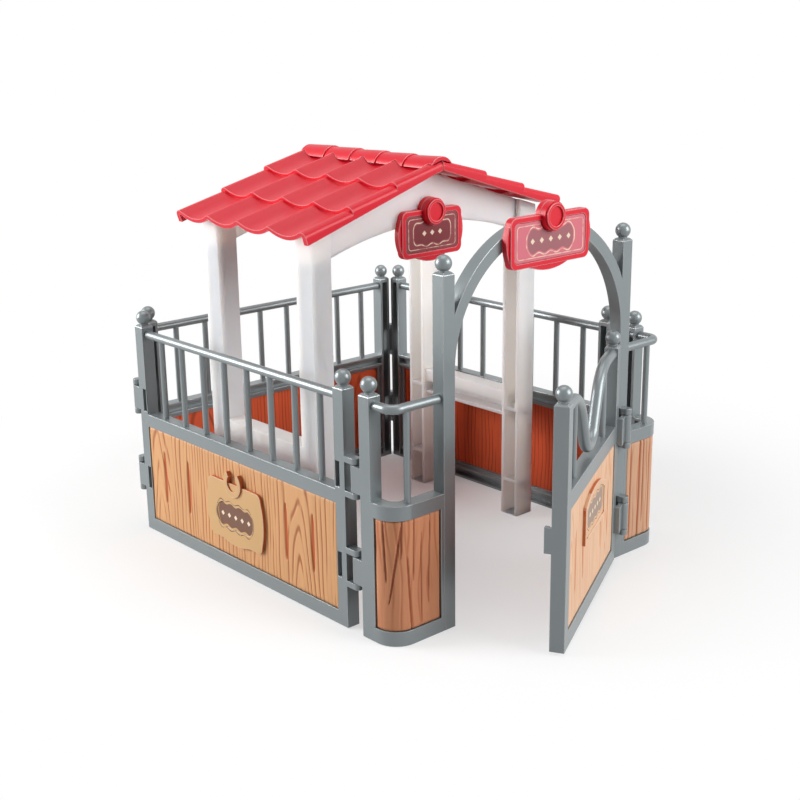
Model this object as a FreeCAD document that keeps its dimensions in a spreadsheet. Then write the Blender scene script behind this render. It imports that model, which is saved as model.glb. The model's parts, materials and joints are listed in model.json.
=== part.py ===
"""A toy horse stable: a hinged fence with an arched gateway round a free-standing tiled shelter.

Frame: millimetres, +Z up, +X to the right, the gateway facing -Y. The pieces are drawn round the middle of
the square that the four fence hinge axes stand on, at floor level, and are written pen_centre further along
+Y, so that the origin is the middle of the whole object's base with the gate ajar.
"""
import FreeCAD, Part
import math
import os
import re

V = FreeCAD.Vector
doc = FreeCAD.newDocument("toy_stable")

# Driving sizes, in millimetres, degrees and counts
SIZES = {
    # Fence loop and its hinges
    "pen_centre": 34.1, "hinge_pitch": 159, "hinge_gap": 9.2, "axis_inset": 2.0, "knuckle_size": 4.0,
    "pin_size": 2.2, "fit_gap": 0.05, "free_gap": 0.3, "tab_height": 2.6, "tab_pitch": 14.2, "flag_leaf": 1.8,
    "low_hinge": 26.5, "high_hinge": 64.5,
    # How far arms root in their posts, and how far cuts run past the stock
    "root": 0.4, "overrun": 1,
    # Posts, bands, bars and rails of the fence
    "post_size": 6, "post_height": 100, "cap_chamfer": 0.9, "ball_size": 6.5, "ball_seat": 0.4,
    "neck_size": 3.8, "neck_height": 0.3, "wall": 1.4, "frame_top": 58, "top_band": 6, "bottom_band": 6.2,
    "lip": 1.5, "rebate": 2.7,
    "bar_size": 2.7, "bar_count": 8, "bar_pitch": 16.4, "rail_size": 3.8, "rail_height": 95.6,
    "board_gap": 0.15, "board_set": 0.4, "vent_height": 10.6, "vent_inset": 0.5,
    "score_width": 1.6, "score_depth": 0.5, "score_rise": 10.9, "score_height": 25,
    # Front unit: gateway posts, arch and rounded corners
    "gate_width": 98, "arch_post": 6, "arch_height": 144, "arch_band": 5, "arch_spring": 105,
    "front_reach": 23.5, "corner_radius": 10, "corner_stile": 1.6, "corner_board": 2.2, "corner_set": 0.3,
    "corner_gap": 0.7, "corner_lip": 1.2, "rail_bend": 4.5, "lug_size": 6.4, "lug_depth": 2.6,
    # Gate
    "gate_gap": 1.5, "gate_lift": 1, "gate_angle": 28, "gate_pin_reach": 2.6, "gate_tab_pitch": 15.4,
    "gate_low_hinge": 21, "gate_high_hinge": 61.5, "gate_frame_top": 65, "gate_top_band": 7.5,
    "gate_bottom_band": 8, "wave_top": 96.7, "hump_radius": 20, "wave_inset": 9.5, "wave_dip": 69.4,
    "dip_radius": 9, "gate_bar_inset": 14.5,
    "latch_reach": 2.8, "latch_height": 10.6, "latch_level": 46.4, "latch_thickness": 2.2,
    # Shelter
    "shelter_room": 13.8, "shelter_depth": 76, "shelter_post": 10.4, "shelter_wall": 1.8,
    "low_rail_top": 61.5, "low_rail_height": 12.5, "low_rail_depth": 9, "rib_low": 17.5, "rib_high": 53.5,
    "gable_thickness": 3, "gable_set": 2.6, "gable_spring": 140, "gable_rise": 9.5, "gable_shoulder": 14.1,
    # Roof
    "roof_angle": 17.6, "verge_overhang": 7.75, "eave_overhang": 6.8, "ridge_room": 1, "slope_gap": 0.1,
    "row_count": 3, "row_lap": 2.4, "tile_step": 1.7, "tile_thickness": 1.9, "tile_count": 4,
    "tile_crest": 2.7, "crest_radius": 3, "verge_shoulder": 2.95, "verge_lift": 0.8, "verge_width": 2.6,
    "verge_radius": 2.4, "roof_seat": 0.1, "ridge_height": 6.5, "ridge_radius": 7, "ridge_step": 0.6,
    "ridge_count": 5, "ridge_drop": 5, "ridge_inset": 1,
    # Signs and plaques
    "arch_sign_width": 48.6, "arch_sign_height": 20, "arch_sign_level": 150.7,
    "gable_sign_width": 37.8, "gable_sign_height": 20.2, "gable_sign_rise": 5.6,
    "sign_thickness": 3.4, "sign_lift": 0.7, "sign_rim": 2.2, "sign_recess": 1, "plate_thickness": 0.8,
    "plate_corner": 2, "sign_bulge": 1.6, "sign_lobe": 2.3, "sign_corner": 3, "ear_rim": 0.7,
    "peg_size": 10.6, "peg_height": 2.8, "peg_shaft": 3.6, "peg_depth": 2, "peg_drop": 1, "dish_rim": 1.4,
    "dish_depth": 0.9,
    "plaque_width": 42, "plaque_height": 27, "plaque_level": 28, "plaque_thickness": 1.4, "plaque_lobe": 1.6,
    "label_width": 27, "label_height": 11.4, "label_corner": 5.4, "label_drop": 2, "label_depth": 0.5,
    "shoe_size": 12.5, "shoe_bar": 2.6, "shoe_level": 42, "shoe_rise": 0.8, "shoe_mouth_angle": 80,
    "gate_plaque_width": 37, "gate_plaque_height": 20, "gate_plaque_level": 43.6, "gate_plaque_bow": 4.6,
    "gate_plaque_rim": 2,
}

# Sizes worked out from the driving ones
DERIVED = {
    "half_pitch": "hinge_pitch / 2",
    "outer": "half_pitch + axis_inset",
    "inner": "outer - post_size",
    "front": "half_pitch + front_reach",
    "half_gate": "gate_width / 2",
    "half_arch": "half_gate + arch_post",
    "post_mid": "post_size / 2 - axis_inset",
    "ball_level": "post_height + neck_height + ball_size / 2 - ball_seat",
    "arch_ball_level": "arch_height + neck_height + ball_size / 2 - ball_seat",
    "flag_height": "tab_pitch - tab_height - 2 * free_gap",
    "gate_flag_height": "gate_tab_pitch - tab_height - 2 * free_gap",
    "panel_start": "hinge_gap / 2",
    "panel_end": "hinge_pitch - hinge_gap / 2",
    "gate_pin_x": "half_gate + arch_post / 2",
    "gate_start": "arch_post / 2 + gate_gap",
    "gate_end": "gate_width + arch_post / 2 - gate_gap",
    "gate_back": "gate_pin_reach + post_size",
    "shelter_width": "hinge_pitch - 2 * shelter_room",
    "half_shelter": "shelter_width / 2",
    "half_depth": "shelter_depth / 2",
    "half_span": "half_shelter - shelter_post",
    "roof_apex": "gable_spring + gable_shoulder + half_span * tan(roof_angle * 1deg)",
    "roof_length": "shelter_depth + 2 * verge_overhang",
    "tile_pitch": "(roof_length - 2 * verge_shoulder) / tile_count",
    "eave_reach": "half_shelter + eave_overhang",
    "row_run": "(eave_reach - ridge_room) / row_count",
    "ridge_top": "roof_apex + ridge_height",
    "ridge_length": "roof_length - 2 * ridge_inset",
    "gable_sign_level": "gable_spring + gable_sign_rise",
}

sheet = doc.addObject("Spreadsheet::Sheet", "Sizes")
for row, (name, value) in enumerate([*SIZES.items(), *DERIVED.items()], start=1):
    sheet.set(f"A{row}", name)
    sheet.set(f"B{row}", f"={value}" if name in DERIVED else str(value))
    sheet.setAlias(f"B{row}", name)
doc.recompute()


def size(name):
    """Value of one cell."""
    return float(sheet.get(name))


def cells(text):
    """Expression text with every cell's alias pointed at the sheet."""
    known = SIZES.keys() | DERIVED.keys()
    return re.sub(r"[a-z_]+", lambda m: f"Sizes.{m[0]}" if m[0] in known else m[0], str(text))


def bind(obj, values):
    """Ties properties of an object to expressions of the cells."""
    for prop, text in values.items():
        obj.setExpression(prop, cells(text))
    return obj


def base(at):
    """Expressions of a placement's position."""
    return dict(zip(("Placement.Base.x", "Placement.Base.y", "Placement.Base.z"), at))


# Solids that the pieces are put together from


def box(at, extent):
    obj = doc.addObject("Part::Box", "Block")
    return bind(obj, {**base(at), **dict(zip(("Length", "Width", "Height"), extent))})


def side_box(side, at, extent):
    """A block on the right (+1), or its mirror image on the left (-1)."""
    x = at[0] if side > 0 else f"-({at[0]}) - ({extent[0]})"
    return box((x, *at[1:]), extent)


TURNS = {"x": FreeCAD.Rotation(V(0, 1, 0), 90), "y": FreeCAD.Rotation(V(1, 0, 0), -90),
         "z": FreeCAD.Rotation()}


def rod(at, diameter, length, along="z"):
    obj = doc.addObject("Part::Cylinder", "Rod")
    obj.Placement.Rotation = TURNS[along]
    return bind(obj, {**base(at), "Radius": f"({diameter}) / 2", "Height": length})


def ball(at, diameter):
    obj = doc.addObject("Part::Sphere", "Ball")
    return bind(obj, {**base(at), "Radius": f"({diameter}) / 2"})


def fuse(pieces, label="Joined"):
    obj = doc.addObject("Part::MultiFuse", "Joined")
    obj.Shapes = pieces
    obj.Refine = True
    obj.Label = label
    return obj


def cut(body, tools, label="Trimmed"):
    obj = doc.addObject("Part::Cut", "Trimmed")
    obj.Base = body
    obj.Tool = tools[0] if len(tools) == 1 else fuse(tools)
    obj.Refine = True
    obj.Label = label
    return obj


def line(a, b):
    return Part.LineSegment(V(*a, 0), V(*b, 0))


def arc(a, middle, b):
    return Part.Arc(V(*a, 0), V(*middle, 0), V(*b, 0))


PLANES = {"XY": "XY_Plane", "XZ": "XZ_Plane", "YZ": "YZ_Plane"}


def pad(outline, length, plane="XY", at=(0, 0, 0)):
    """A body padded from one sketch; a sketch on XZ grows towards -Y."""
    body = doc.addObject("PartDesign::Body", "Pad")
    sketch = body.newObject("Sketcher::SketchObject", "Outline")
    origin = next(f for f in body.Origin.OriginFeatures if f.Role == PLANES[plane])
    sketch.AttachmentSupport = [(origin, "")]
    sketch.MapMode = "FlatFace"
    sketch.addGeometry(outline, False)
    feature = body.newObject("PartDesign::Pad", "Grow")
    feature.Profile = sketch
    bind(feature, {"Length": length})
    bind(body, base(at))
    return body


def at_angle(centre, radius, degrees):
    turn = math.radians(degrees)
    return centre[0] + radius * math.cos(turn), centre[1] + radius * math.sin(turn)


def place(obj, at, degrees):
    """Stands a finished piece on a point of the floor plan, turned about the vertical."""
    obj.Placement.Rotation = FreeCAD.Rotation(V(0, 0, 1), degrees)
    return bind(obj, base(at))


# Fence: three like panels on their hinge axes


def finial(x, y, level, height):
    """The neck and ball on top of a post."""
    neck = rod((x, y, f"{height} - overrun"), "neck_size", "neck_height + 2 * overrun")
    return [neck, ball((x, y, level), "ball_size")]


def capped_post(x, y, foot="0", top="post_height", section="post_size"):
    """A square post whose top edges are chamfered."""
    shank = box((x, y, foot), (section, section, f"{top} - cap_chamfer - ({foot})"))
    cap = doc.addObject("Part::Wedge", "Cap")
    cap.Placement.Rotation = FreeCAD.Rotation(V(1, 0, 0), 90)
    bind(cap, {**base((x, f"{y} + {section}", f"{top} - cap_chamfer")),
               "Xmin": "0", "Ymin": "0", "Zmin": "0", "X2min": "cap_chamfer", "Z2min": "cap_chamfer",
               "Xmax": section, "Ymax": "cap_chamfer", "Zmax": section,
               "X2max": f"{section} - cap_chamfer", "Z2max": f"{section} - cap_chamfer"})
    return fuse([shank, cap])


def channel_post(x, y, open_side, foot="0", top="post_height", section="post_size"):
    """A post and the cut that leaves it an open channel on one side, +1 for +Y and -1 for -Y."""
    post = capped_post(x, y, foot, top, section)
    start = f"{y} + wall" if open_side > 0 else f"{y} - overrun"
    hollow = box((f"{x} + wall", start, f"{foot} + 2 * wall"),
                 (f"{section} - 2 * wall", f"{section} - wall + overrun", f"{top} - ({foot}) - 4 * wall"))
    return post, hollow


def hinge_tabs(x, pitch, levels, reach, direction):
    """Pairs of tabs with a pin between them, standing off towards +X or -Y."""
    pieces = []
    for level in levels:
        for half in (-1, 1):
            foot = f"{level} + {half} * {pitch} / 2 - tab_height / 2"
            if direction == "x":
                block = box((f"{x} - ({reach})", "-knuckle_size / 2", foot),
                            (reach, "knuckle_size", "tab_height"))
                nose = rod((x, 0, foot), "knuckle_size", "tab_height")
            else:
                block = box((f"{x} - knuckle_size / 2", "-front - gate_pin_reach", foot),
                            ("knuckle_size", f"{reach} + root", "tab_height"))
                nose = rod((x, "-front - gate_pin_reach", foot), "knuckle_size", "tab_height")
            pieces += [block, nose]
        pin_at = (x, 0 if direction == "x" else "-front - gate_pin_reach", f"{level} - {pitch} / 2")
        pieces.append(rod(pin_at, "pin_size", pitch))
    return pieces


def hinge_flags(height, levels, reach):
    """Round knuckles at the local origin, on leaves that reach towards +X, and their bores."""
    flags, bores = [], []
    for level in levels:
        foot = f"{level} - {height} / 2"
        flags.append(box((0, "-knuckle_size / 2", foot), (reach, "flag_leaf", height)))
        flags.append(rod((0, 0, foot), "knuckle_size", height))
        bores.append(rod((0, 0, f"{foot} - overrun"), "pin_size + 2 * fit_gap", f"{height} + 2 * overrun"))
    return flags, bores


LEVELS = ("low_hinge", "high_hinge")
GATE_LEVELS = ("gate_low_hinge", "gate_high_hinge")


def fence_frame(label, open_clip):
    """One panel from its flag axis (local x = 0) to its pin axis; outer face at y = -axis_inset."""
    face = "-axis_inset"
    solids, cuts = [], []
    for x in ("panel_start", "panel_end - post_size"):
        post, hollow = channel_post(x, face, +1)
        solids += [post, *finial(f"{x} + post_size / 2", "post_mid", "ball_level", "post_height")]
        cuts.append(hollow)
        vent_x = f"{x} + post_size / 2" if x == "panel_start" else f"{x} + vent_inset"
        for level in LEVELS:
            cuts.append(box((vent_x, f"{face} - overrun", f"{level} - vent_height / 2"),
                            ("post_size / 2 - vent_inset", "wall + 2 * overrun", "vent_height")))
    span = "panel_end - panel_start"
    window = "panel_end - panel_start - 2 * post_size"
    for foot, height in (("0", "bottom_band"), ("frame_top - top_band", "top_band")):
        solids.append(box(("panel_start", face, foot), (span, "post_size", height)))
        cuts.append(box(("panel_start + post_size", f"{face} + 2 * wall", f"{foot} + wall"),
                        (window, "post_size", f"{height} - 2 * wall")))
    solids.append(box(("panel_start + post_size", f"{face} + rebate", "bottom_band"),
                      (window, "lip", "frame_top - top_band - bottom_band")))
    cuts.append(box(("panel_start + post_size + lip", face, "bottom_band + lip"),
                    (f"{window} - 2 * lip", "2 * post_size", "frame_top - top_band - bottom_band - 2 * lip")))
    solids.append(rod(("panel_start + post_size - wall / 2", "post_mid", "rail_height"), "rail_size",
                      f"{window} + wall", "x"))
    for index in range(int(size("bar_count"))):
        x = f"hinge_pitch / 2 + ({index} - (bar_count - 1) / 2) * bar_pitch"
        solids.append(rod((x, "post_mid", "frame_top - wall"), "bar_size", "rail_height - frame_top + wall"))
    reach = "hinge_gap / 2 + root"
    flags, bores = hinge_flags("flag_height", LEVELS, reach)
    frame = cut(fuse(solids), cuts)
    tabs = hinge_tabs("hinge_pitch", "tab_pitch", LEVELS, reach, "x")
    return cut(fuse([frame, *flags, *tabs]), bores + (clip_mouths() if open_clip else []), label)


def clip_mouths():
    """Cuts that open the flags towards the inside and the end, so that they unclip from their pins."""
    room = "pin_size / 2 + free_gap"
    return [box(("-knuckle_size", f"-({room})", f"{level} - flag_height"),
                (f"knuckle_size + {room}", "2 * knuckle_size", "2 * flag_height")) for level in LEVELS]


# Where the deep scores of a board stand, as shares of its length
FENCE_SCORES = (0.085, 0.226, 0.755, 0.886)
GATE_SCORES = (0.14, 0.30, 0.70, 0.86)


def plank_board(label, start, length, face, depth, foot, height, shares, outward=-1):
    """A board cut from one sheet, with deep upright scores in its face."""
    sheet_stock = box((start, face if outward < 0 else f"{face} - ({depth})", foot), (length, depth, height))
    score_y = f"{face} - overrun" if outward < 0 else f"{face} - score_depth"
    scores = []
    for share in shares:
        score_x = f"{start} + ({length}) * {share} - score_width / 2"
        scores.append(box((score_x, score_y, f"{foot} + score_rise"),
                          ("score_width", "score_depth + overrun", "score_height")))
    return cut(sheet_stock, scores, label)


def fence_board(label):
    return plank_board(label, "panel_start + post_size + board_gap",
                       "panel_end - panel_start - 2 * post_size - 2 * board_gap",
                       "board_set - axis_inset", "rebate - board_set", "bottom_band + board_gap",
                       "frame_top - top_band - bottom_band - 2 * board_gap", FENCE_SCORES)


PANELS = {  # local origin of each panel in plan, its turn, and whether its flags unclip
    "right_fence": (("half_pitch", "-half_pitch", 0), 90, False),
    "rear_fence": (("half_pitch", "half_pitch", 0), 180, False),
    "left_fence": (("-half_pitch", "half_pitch", 0), 270, True),
}
pieces = []
for fence, (corner, turn, unclips) in PANELS.items():
    pieces.append(place(fence_frame(f"{fence}_frame", unclips), corner, turn))
    pieces.append(place(fence_board(f"{fence}_board"), corner, turn))

# Front unit: rounded corners and the gateway


def corner_strip(side, inset, depth, trim, height, foot):
    """A strip that follows the corner's outer face, set in from it; a trim ends it short of both posts."""
    radius, outer, front = size("corner_radius"), size("outer"), size("front")
    side_end = -size("half_pitch") - size("hinge_gap") / 2 - (trim + size("post_size") if trim else 0)
    front_end = size("half_arch") + trim
    centre = (outer - radius, -front + radius)

    def point(x, y):
        return side * x, y

    def bend(offset, degrees):
        x, y = at_angle(centre, radius - offset, degrees)
        return point(x, y)

    near, far = inset, inset + depth
    outline = [
        line(point(outer - near, side_end), bend(near, 0)),
        arc(bend(near, 0), bend(near, -45), bend(near, -90)),
        line(bend(near, -90), point(front_end, -front + near)),
        line(point(front_end, -front + near), point(front_end, -front + far)),
        line(point(front_end, -front + far), bend(far, -90)),
        arc(bend(far, -90), bend(far, -45), bend(far, 0)),
        line(bend(far, 0), point(outer - far, side_end)),
        line(point(outer - far, side_end), point(outer - near, side_end)),
    ]
    return pad(outline, height, at=(0, 0, foot))


def corner_rail(side):
    """Rail of a corner: a straight run, a quarter bend and a straight run, and the bar beside the bend."""
    mid = "post_size / 2"
    bend = doc.addObject("Part::Torus", "Bend")
    bend.Placement.Rotation = FreeCAD.Rotation(V(0, 0, 1), -90 if side > 0 else 180)
    turn = f"({mid} + rail_bend)"
    bind(bend, {**base((f"{side} * (outer - {turn})", f"{turn} - front", "rail_height")),
                "Radius1": "rail_bend", "Radius2": "rail_size / 2", "Angle3": "90"})
    run = rod((f"{side} * (outer - {mid})", f"{turn} - front", "rail_height"), "rail_size",
              f"front - {turn} - half_pitch - hinge_gap / 2 - wall / 2", "y")
    start = "half_arch" if side > 0 else f"{turn} - outer"
    across = rod((start, f"{mid} - front", "rail_height"), "rail_size", f"outer - {turn} - half_arch", "x")
    bar = rod((f"{side} * (outer - {turn} - bar_size)", f"{mid} - front", "frame_top - wall"),
              "bar_size", "rail_height - frame_top + wall")
    return [bend, run, across, bar]


def corner_frame(side, label):
    """Corner frame; the left one carries knuckle flags and the right one tabs with pins."""
    y = "-half_pitch - hinge_gap / 2 - post_size"
    x = "inner" if side > 0 else "-outer"
    post = capped_post(x, y)
    hollow = side_box(side, ("inner - overrun", f"{y} + wall", "2 * wall"),
                      ("post_size - wall + overrun", "post_size - 2 * wall", "post_height - 4 * wall"))
    shell = corner_strip(side, 0, size("post_size"), 0, "frame_top", 0)
    over, stile, lip = size("overrun"), size("corner_stile"), size("corner_lip")
    recess = corner_strip(side, -over, over + size("corner_set") + size("corner_board"), stile,
                          "frame_top - top_band - bottom_band", "bottom_band")
    window = corner_strip(side, -over, size("post_size") + 2 * over, stile + lip,
                          "frame_top - top_band - bottom_band - 2 * corner_lip", "bottom_band + corner_lip")
    groove = corner_strip(side, 2 * size("wall"), size("post_size"), stile, "top_band - 2 * wall",
                          "frame_top - top_band + wall")
    solids = [post, shell, *finial(f"{side} * (outer - post_size / 2)", f"{y} + post_size / 2", "ball_level",
                                   "post_height")]
    frame = fuse([cut(fuse(solids), [hollow, recess, window, groove]), *corner_rail(side)])
    reach = "hinge_gap / 2 + root"
    if side > 0:
        hinge = fuse(hinge_tabs("0", "tab_pitch", LEVELS, reach, "x"))
        return fuse([frame, place(hinge, ("half_pitch", "-half_pitch", 0), 90)], label)
    flags, bores = hinge_flags("flag_height", LEVELS, reach)
    hinge = cut(fuse(flags), bores)
    return fuse([frame, place(hinge, ("-half_pitch", "-half_pitch", 0), 270)], label)


def corner_board(side, label):
    """Bent board of a corner, standing clear of its stiles by a shadow gap."""
    board = corner_strip(side, size("corner_set"), size("corner_board"),
                         size("corner_stile") + size("corner_gap"),
                         "frame_top - top_band - bottom_band - corner_gap", "bottom_band + corner_gap / 2")
    board.Label = label
    return board


for side, word in ((-1, "left"), (1, "right")):
    pieces.append(corner_frame(side, f"{word}_corner_frame"))
    pieces.append(corner_board(side, f"{word}_corner_board"))


def front_arch(label):
    """Two posts and a semicircular band, with tabs and pins for the gate on the right post."""
    solids, cuts = [], []
    for x in ("half_gate", "-half_arch"):
        post, hollow = channel_post(x, "-front", +1, top="arch_height", section="arch_post")
        solids += [post, *finial(f"{x} + arch_post / 2", "arch_post / 2 - front", "arch_ball_level",
                                 "arch_height")]
        cuts.append(hollow)
    inside, spring = size("half_gate"), size("arch_spring")
    outside = inside + size("arch_band")
    centre = (0, spring)
    band = pad([
        arc(at_angle(centre, outside, 0), at_angle(centre, outside, 90), at_angle(centre, outside, 180)),
        line(at_angle(centre, outside, 180), at_angle(centre, inside, 180)),
        arc(at_angle(centre, inside, 180), at_angle(centre, inside, 90), at_angle(centre, inside, 0)),
        line(at_angle(centre, inside, 0), at_angle(centre, outside, 0)),
    ], "arch_post", "XZ", (0, "arch_post - front", 0))
    peg_at = "arch_sign_level + arch_sign_height / 2 - peg_drop"
    lug = rod((0, "-front", peg_at), "lug_size", "lug_depth", "y")
    bore = rod((0, "-front - overrun", peg_at), "peg_shaft + 2 * board_gap", "peg_depth + overrun", "y")
    tabs = hinge_tabs("gate_pin_x", "gate_tab_pitch", GATE_LEVELS, "gate_pin_reach", "-y")
    return fuse([cut(fuse(solids + [band, lug]), cuts + [bore]), *tabs], label)


pieces.append(front_arch("front_arch"))

# Gate: drawn shut along local x from its hinge axis, front face towards +Y, then swung open


def wave_rail():
    """Top rail of the gate: level at both posts, over two humps and through a dip in the middle."""
    start, end = size("gate_start") + size("post_size"), size("gate_end") - size("post_size")
    over, under = size("hump_radius"), size("dip_radius")
    y = -size("gate_pin_reach") - size("post_size") / 2
    middle = (start + end) / 2
    hump = (start + size("wave_inset"), size("wave_top") - over)
    dip = (middle, size("wave_dip") + under)
    across, down = dip[0] - hump[0], hump[1] - dip[1]
    fall = math.degrees(math.atan2(down, across) + math.asin((over + under) / math.hypot(across, down)))

    def on(centre, radius, degrees):
        x, z = at_angle(centre, radius, degrees)
        return V(x, y, z)

    leave, meet = 90 - fall, 270 - fall
    root, crest = V(start - size("wall") / 2, y, size("wave_top")), on(hump, over, 90)
    half = [Part.LineSegment(root, crest).toShape(),
            Part.Arc(crest, on(hump, over, (90 + leave) / 2), on(hump, over, leave)).toShape(),
            Part.LineSegment(on(hump, over, leave), on(dip, under, meet)).toShape(),
            Part.Arc(on(dip, under, meet), on(dip, under, (meet + 270) / 2), on(dip, under, 270)).toShape()]
    other = [edge.mirror(V(middle, 0, 0), V(1, 0, 0)) for edge in reversed(half)]
    spine = Part.Wire(half + other)
    ring = Part.Wire(Part.Circle(root, crest - root, size("rail_size") / 2).toShape())
    rail = doc.addObject("Part::Feature", "WaveRail")
    rail.Shape = spine.makePipeShell([ring], True, False)
    return rail


def gate_frame(label):
    back, face = "-gate_back", "-gate_pin_reach"
    mid = "-gate_pin_reach - post_size / 2"
    window = "gate_end - gate_start - 2 * post_size"
    inside = "gate_start + post_size"
    solids, cuts = [wave_rail()], []
    for x in ("gate_start", "gate_end - post_size"):
        post, hollow = channel_post(x, back, -1, foot="gate_lift")
        solids += [post, *finial(f"{x} + post_size / 2", mid, "ball_level", "post_height")]
        cuts.append(hollow)
    for foot, height in (("gate_lift", "gate_bottom_band - gate_lift"),
                         ("gate_frame_top - gate_top_band", "gate_top_band")):
        solids.append(box(("gate_start", back, foot), ("gate_end - gate_start", "post_size", height)))
        cuts.append(box((inside, f"{back} - overrun", f"{foot} + wall"),
                        (window, "post_size - 2 * wall + overrun", f"{height} - 2 * wall")))
    opening = "gate_frame_top - gate_top_band - gate_bottom_band"
    solids.append(box((inside, f"{face} - rebate - lip", "gate_bottom_band"), (window, "lip", opening)))
    cuts.append(box((f"{inside} + lip", f"{back} - overrun", "gate_bottom_band + lip"),
                    (f"{window} - 2 * lip", "2 * post_size", f"{opening} - 2 * lip")))
    for x in (f"{inside} + gate_bar_inset", "gate_end - post_size - gate_bar_inset"):
        solids.append(rod((x, mid, "gate_frame_top - wall"), "bar_size",
                          "wave_top - gate_frame_top + wall - rail_size / 4"))
    latch_at = ("gate_end - latch_thickness", f"{back} - latch_reach", "latch_level - latch_height / 2")
    solids.append(box(latch_at, ("latch_thickness", "latch_reach + root", "latch_height")))
    flags, bores = hinge_flags("gate_flag_height", GATE_LEVELS, "gate_start + post_size / 2")
    stand_off = "gate_pin_reach + root + flag_leaf - knuckle_size / 2"
    for level in GATE_LEVELS:
        flags.append(box(("gate_start", f"{face} - root", f"{level} - gate_flag_height / 2"),
                         ("post_size / 2", stand_off, "gate_flag_height")))
    return cut(fuse([cut(fuse(solids), cuts), *flags]), bores, label)


def gate_board(label):
    return plank_board(label, "gate_start + post_size + board_gap",
                       "gate_end - gate_start - 2 * post_size - 2 * board_gap", "-gate_pin_reach - board_set",
                       "rebate - board_set", "gate_bottom_band + board_gap",
                       "gate_frame_top - gate_top_band - gate_bottom_band - 2 * board_gap", GATE_SCORES,
                       outward=1)


def round_plate(width, height, corner, centre=(0, 0)):
    """Outline of a plate with rounded corners."""
    half_w, half_h = width / 2, height / 2
    outline, ends = [], []
    for x, y, turn in ((1, 1, 0), (-1, 1, 90), (-1, -1, 180), (1, -1, 270)):
        hub = (centre[0] + x * (half_w - corner), centre[1] + y * (half_h - corner))
        marks = [at_angle(hub, corner, turn + step) for step in (0, 45, 90)]
        outline.append(arc(*marks))
        ends.append((marks[0], marks[2]))
    outline += [line(ends[i][1], ends[(i + 1) % 4][0]) for i in range(4)]
    return outline


def bulged_plate(width, height, centre, lobe, ear=0.0):
    """Outline of a sign: rounded corners, bowed sides, a lobe at the foot and perhaps a round ear on top."""
    bulge, corner, drop = size("sign_bulge"), size("sign_corner"), size("peg_drop")
    half_w, half_h = width / 2 - bulge, height / 2
    shift_x, shift_y = centre

    def at(x, y):
        return shift_x + x, shift_y + y

    outline = []
    for side in (1, -1):
        hub_top, hub_low = (half_w - corner, half_h - corner), (half_w - corner, corner - half_h)
        top = [at_angle(hub_top, corner, turn) for turn in (90, 45, 0)]
        low = [at_angle(hub_low, corner, turn) for turn in (0, -45, -90)]
        ear_x = math.sqrt(ear * ear - drop * drop) if ear else 0.0
        runs = [arc(*[at(side * x, y) for x, y in top]),
                arc(at(side * half_w, top[2][1]), at(side * (half_w + bulge), 0),
                    at(side * half_w, low[0][1])),
                arc(*[at(side * x, y) for x, y in low]),
                line(at(side * low[2][0], -half_h), at(side * half_w / 2, -half_h)),
                line(at(side * ear_x, half_h), at(side * top[0][0], half_h))]
        outline += runs
    outline.append(arc(at(half_w / 2, -half_h), at(0, -half_h - lobe), at(-half_w / 2, -half_h)))
    if ear:
        outline.append(arc(at(ear_x, half_h), at(0, half_h - drop + ear), at(-ear_x, half_h)))
    return outline


def arched_plate(width, height, centre):
    """Outline of a plaque with a bowed top."""
    half_w, half_h = width / 2, height / 2
    x, y = centre
    shoulder = y + half_h - size("gate_plaque_bow")
    return [line((x - half_w, y - half_h), (x + half_w, y - half_h)),
            line((x + half_w, y - half_h), (x + half_w, shoulder)),
            arc((x + half_w, shoulder), (x, y + half_h), (x - half_w, shoulder)),
            line((x - half_w, shoulder), (x - half_w, y - half_h))]


def gate_plaque(label):
    middle = ((size("gate_start") + size("gate_end")) / 2, size("gate_plaque_level"))
    wide, tall, rim = (size(f"gate_plaque_{word}") for word in ("width", "height", "rim"))
    face = "-gate_pin_reach - board_set + plaque_thickness"
    plate = pad(arched_plate(wide, tall, middle), "plaque_thickness", "XZ", (0, face, 0))
    hollow = pad(arched_plate(wide - 2 * rim, tall - 2 * rim, middle), "plaque_thickness", "XZ",
                 (0, "-gate_pin_reach - board_set + 2 * plaque_thickness - label_depth", 0))
    return cut(plate, [hollow], label)


hinge_foot = ("gate_pin_x", "-front - gate_pin_reach", 0)
for piece in (gate_frame("gate_frame"), gate_board("gate_board"), gate_plaque("gate_plaque")):
    pieces.append(place(piece, hinge_foot, 180 + size("gate_angle")))


def fence_plaque(label):
    """Plaque on the left panel's board, with a horseshoe across its top edge."""
    middle, level = size("hinge_pitch") / 2, size("plaque_level")
    wide, tall, lobe = (size(f"plaque_{word}") for word in ("width", "height", "lobe"))
    face = "board_set - axis_inset"
    plate = pad(bulged_plate(wide, tall, (middle, level), lobe), "plaque_thickness", "XZ", (0, face, 0))
    field = round_plate(*(size(f"label_{word}") for word in ("width", "height", "corner")),
                        (middle, level - size("label_drop")))
    hollow = pad(field, "plaque_thickness", "XZ", (0, f"{face} - plaque_thickness + label_depth", 0))
    hub, outside = (middle, size("shoe_level")), size("shoe_size") / 2
    inside = outside - size("shoe_bar")
    tips = [90 - size("shoe_mouth_angle") / 2, 90 + size("shoe_mouth_angle") / 2]
    shoe = pad([arc(*[at_angle(hub, outside, turn) for turn in (tips[0], 270, tips[1])]),
                line(at_angle(hub, outside, tips[1]), at_angle(hub, inside, tips[1])),
                arc(*[at_angle(hub, inside, turn) for turn in (tips[1], 270, tips[0])]),
                line(at_angle(hub, inside, tips[0]), at_angle(hub, outside, tips[0]))],
               "plaque_thickness + shoe_rise", "XZ", (0, face, 0))
    return fuse([cut(plate, [hollow]), shoe], label)


pieces.append(place(fence_plaque("left_fence_plaque"), *PANELS["left_fence"][:2]))

# Shelter: channel posts, low rails, gables and a tiled roof

SLOPE = math.radians(size("roof_angle"))


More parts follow.
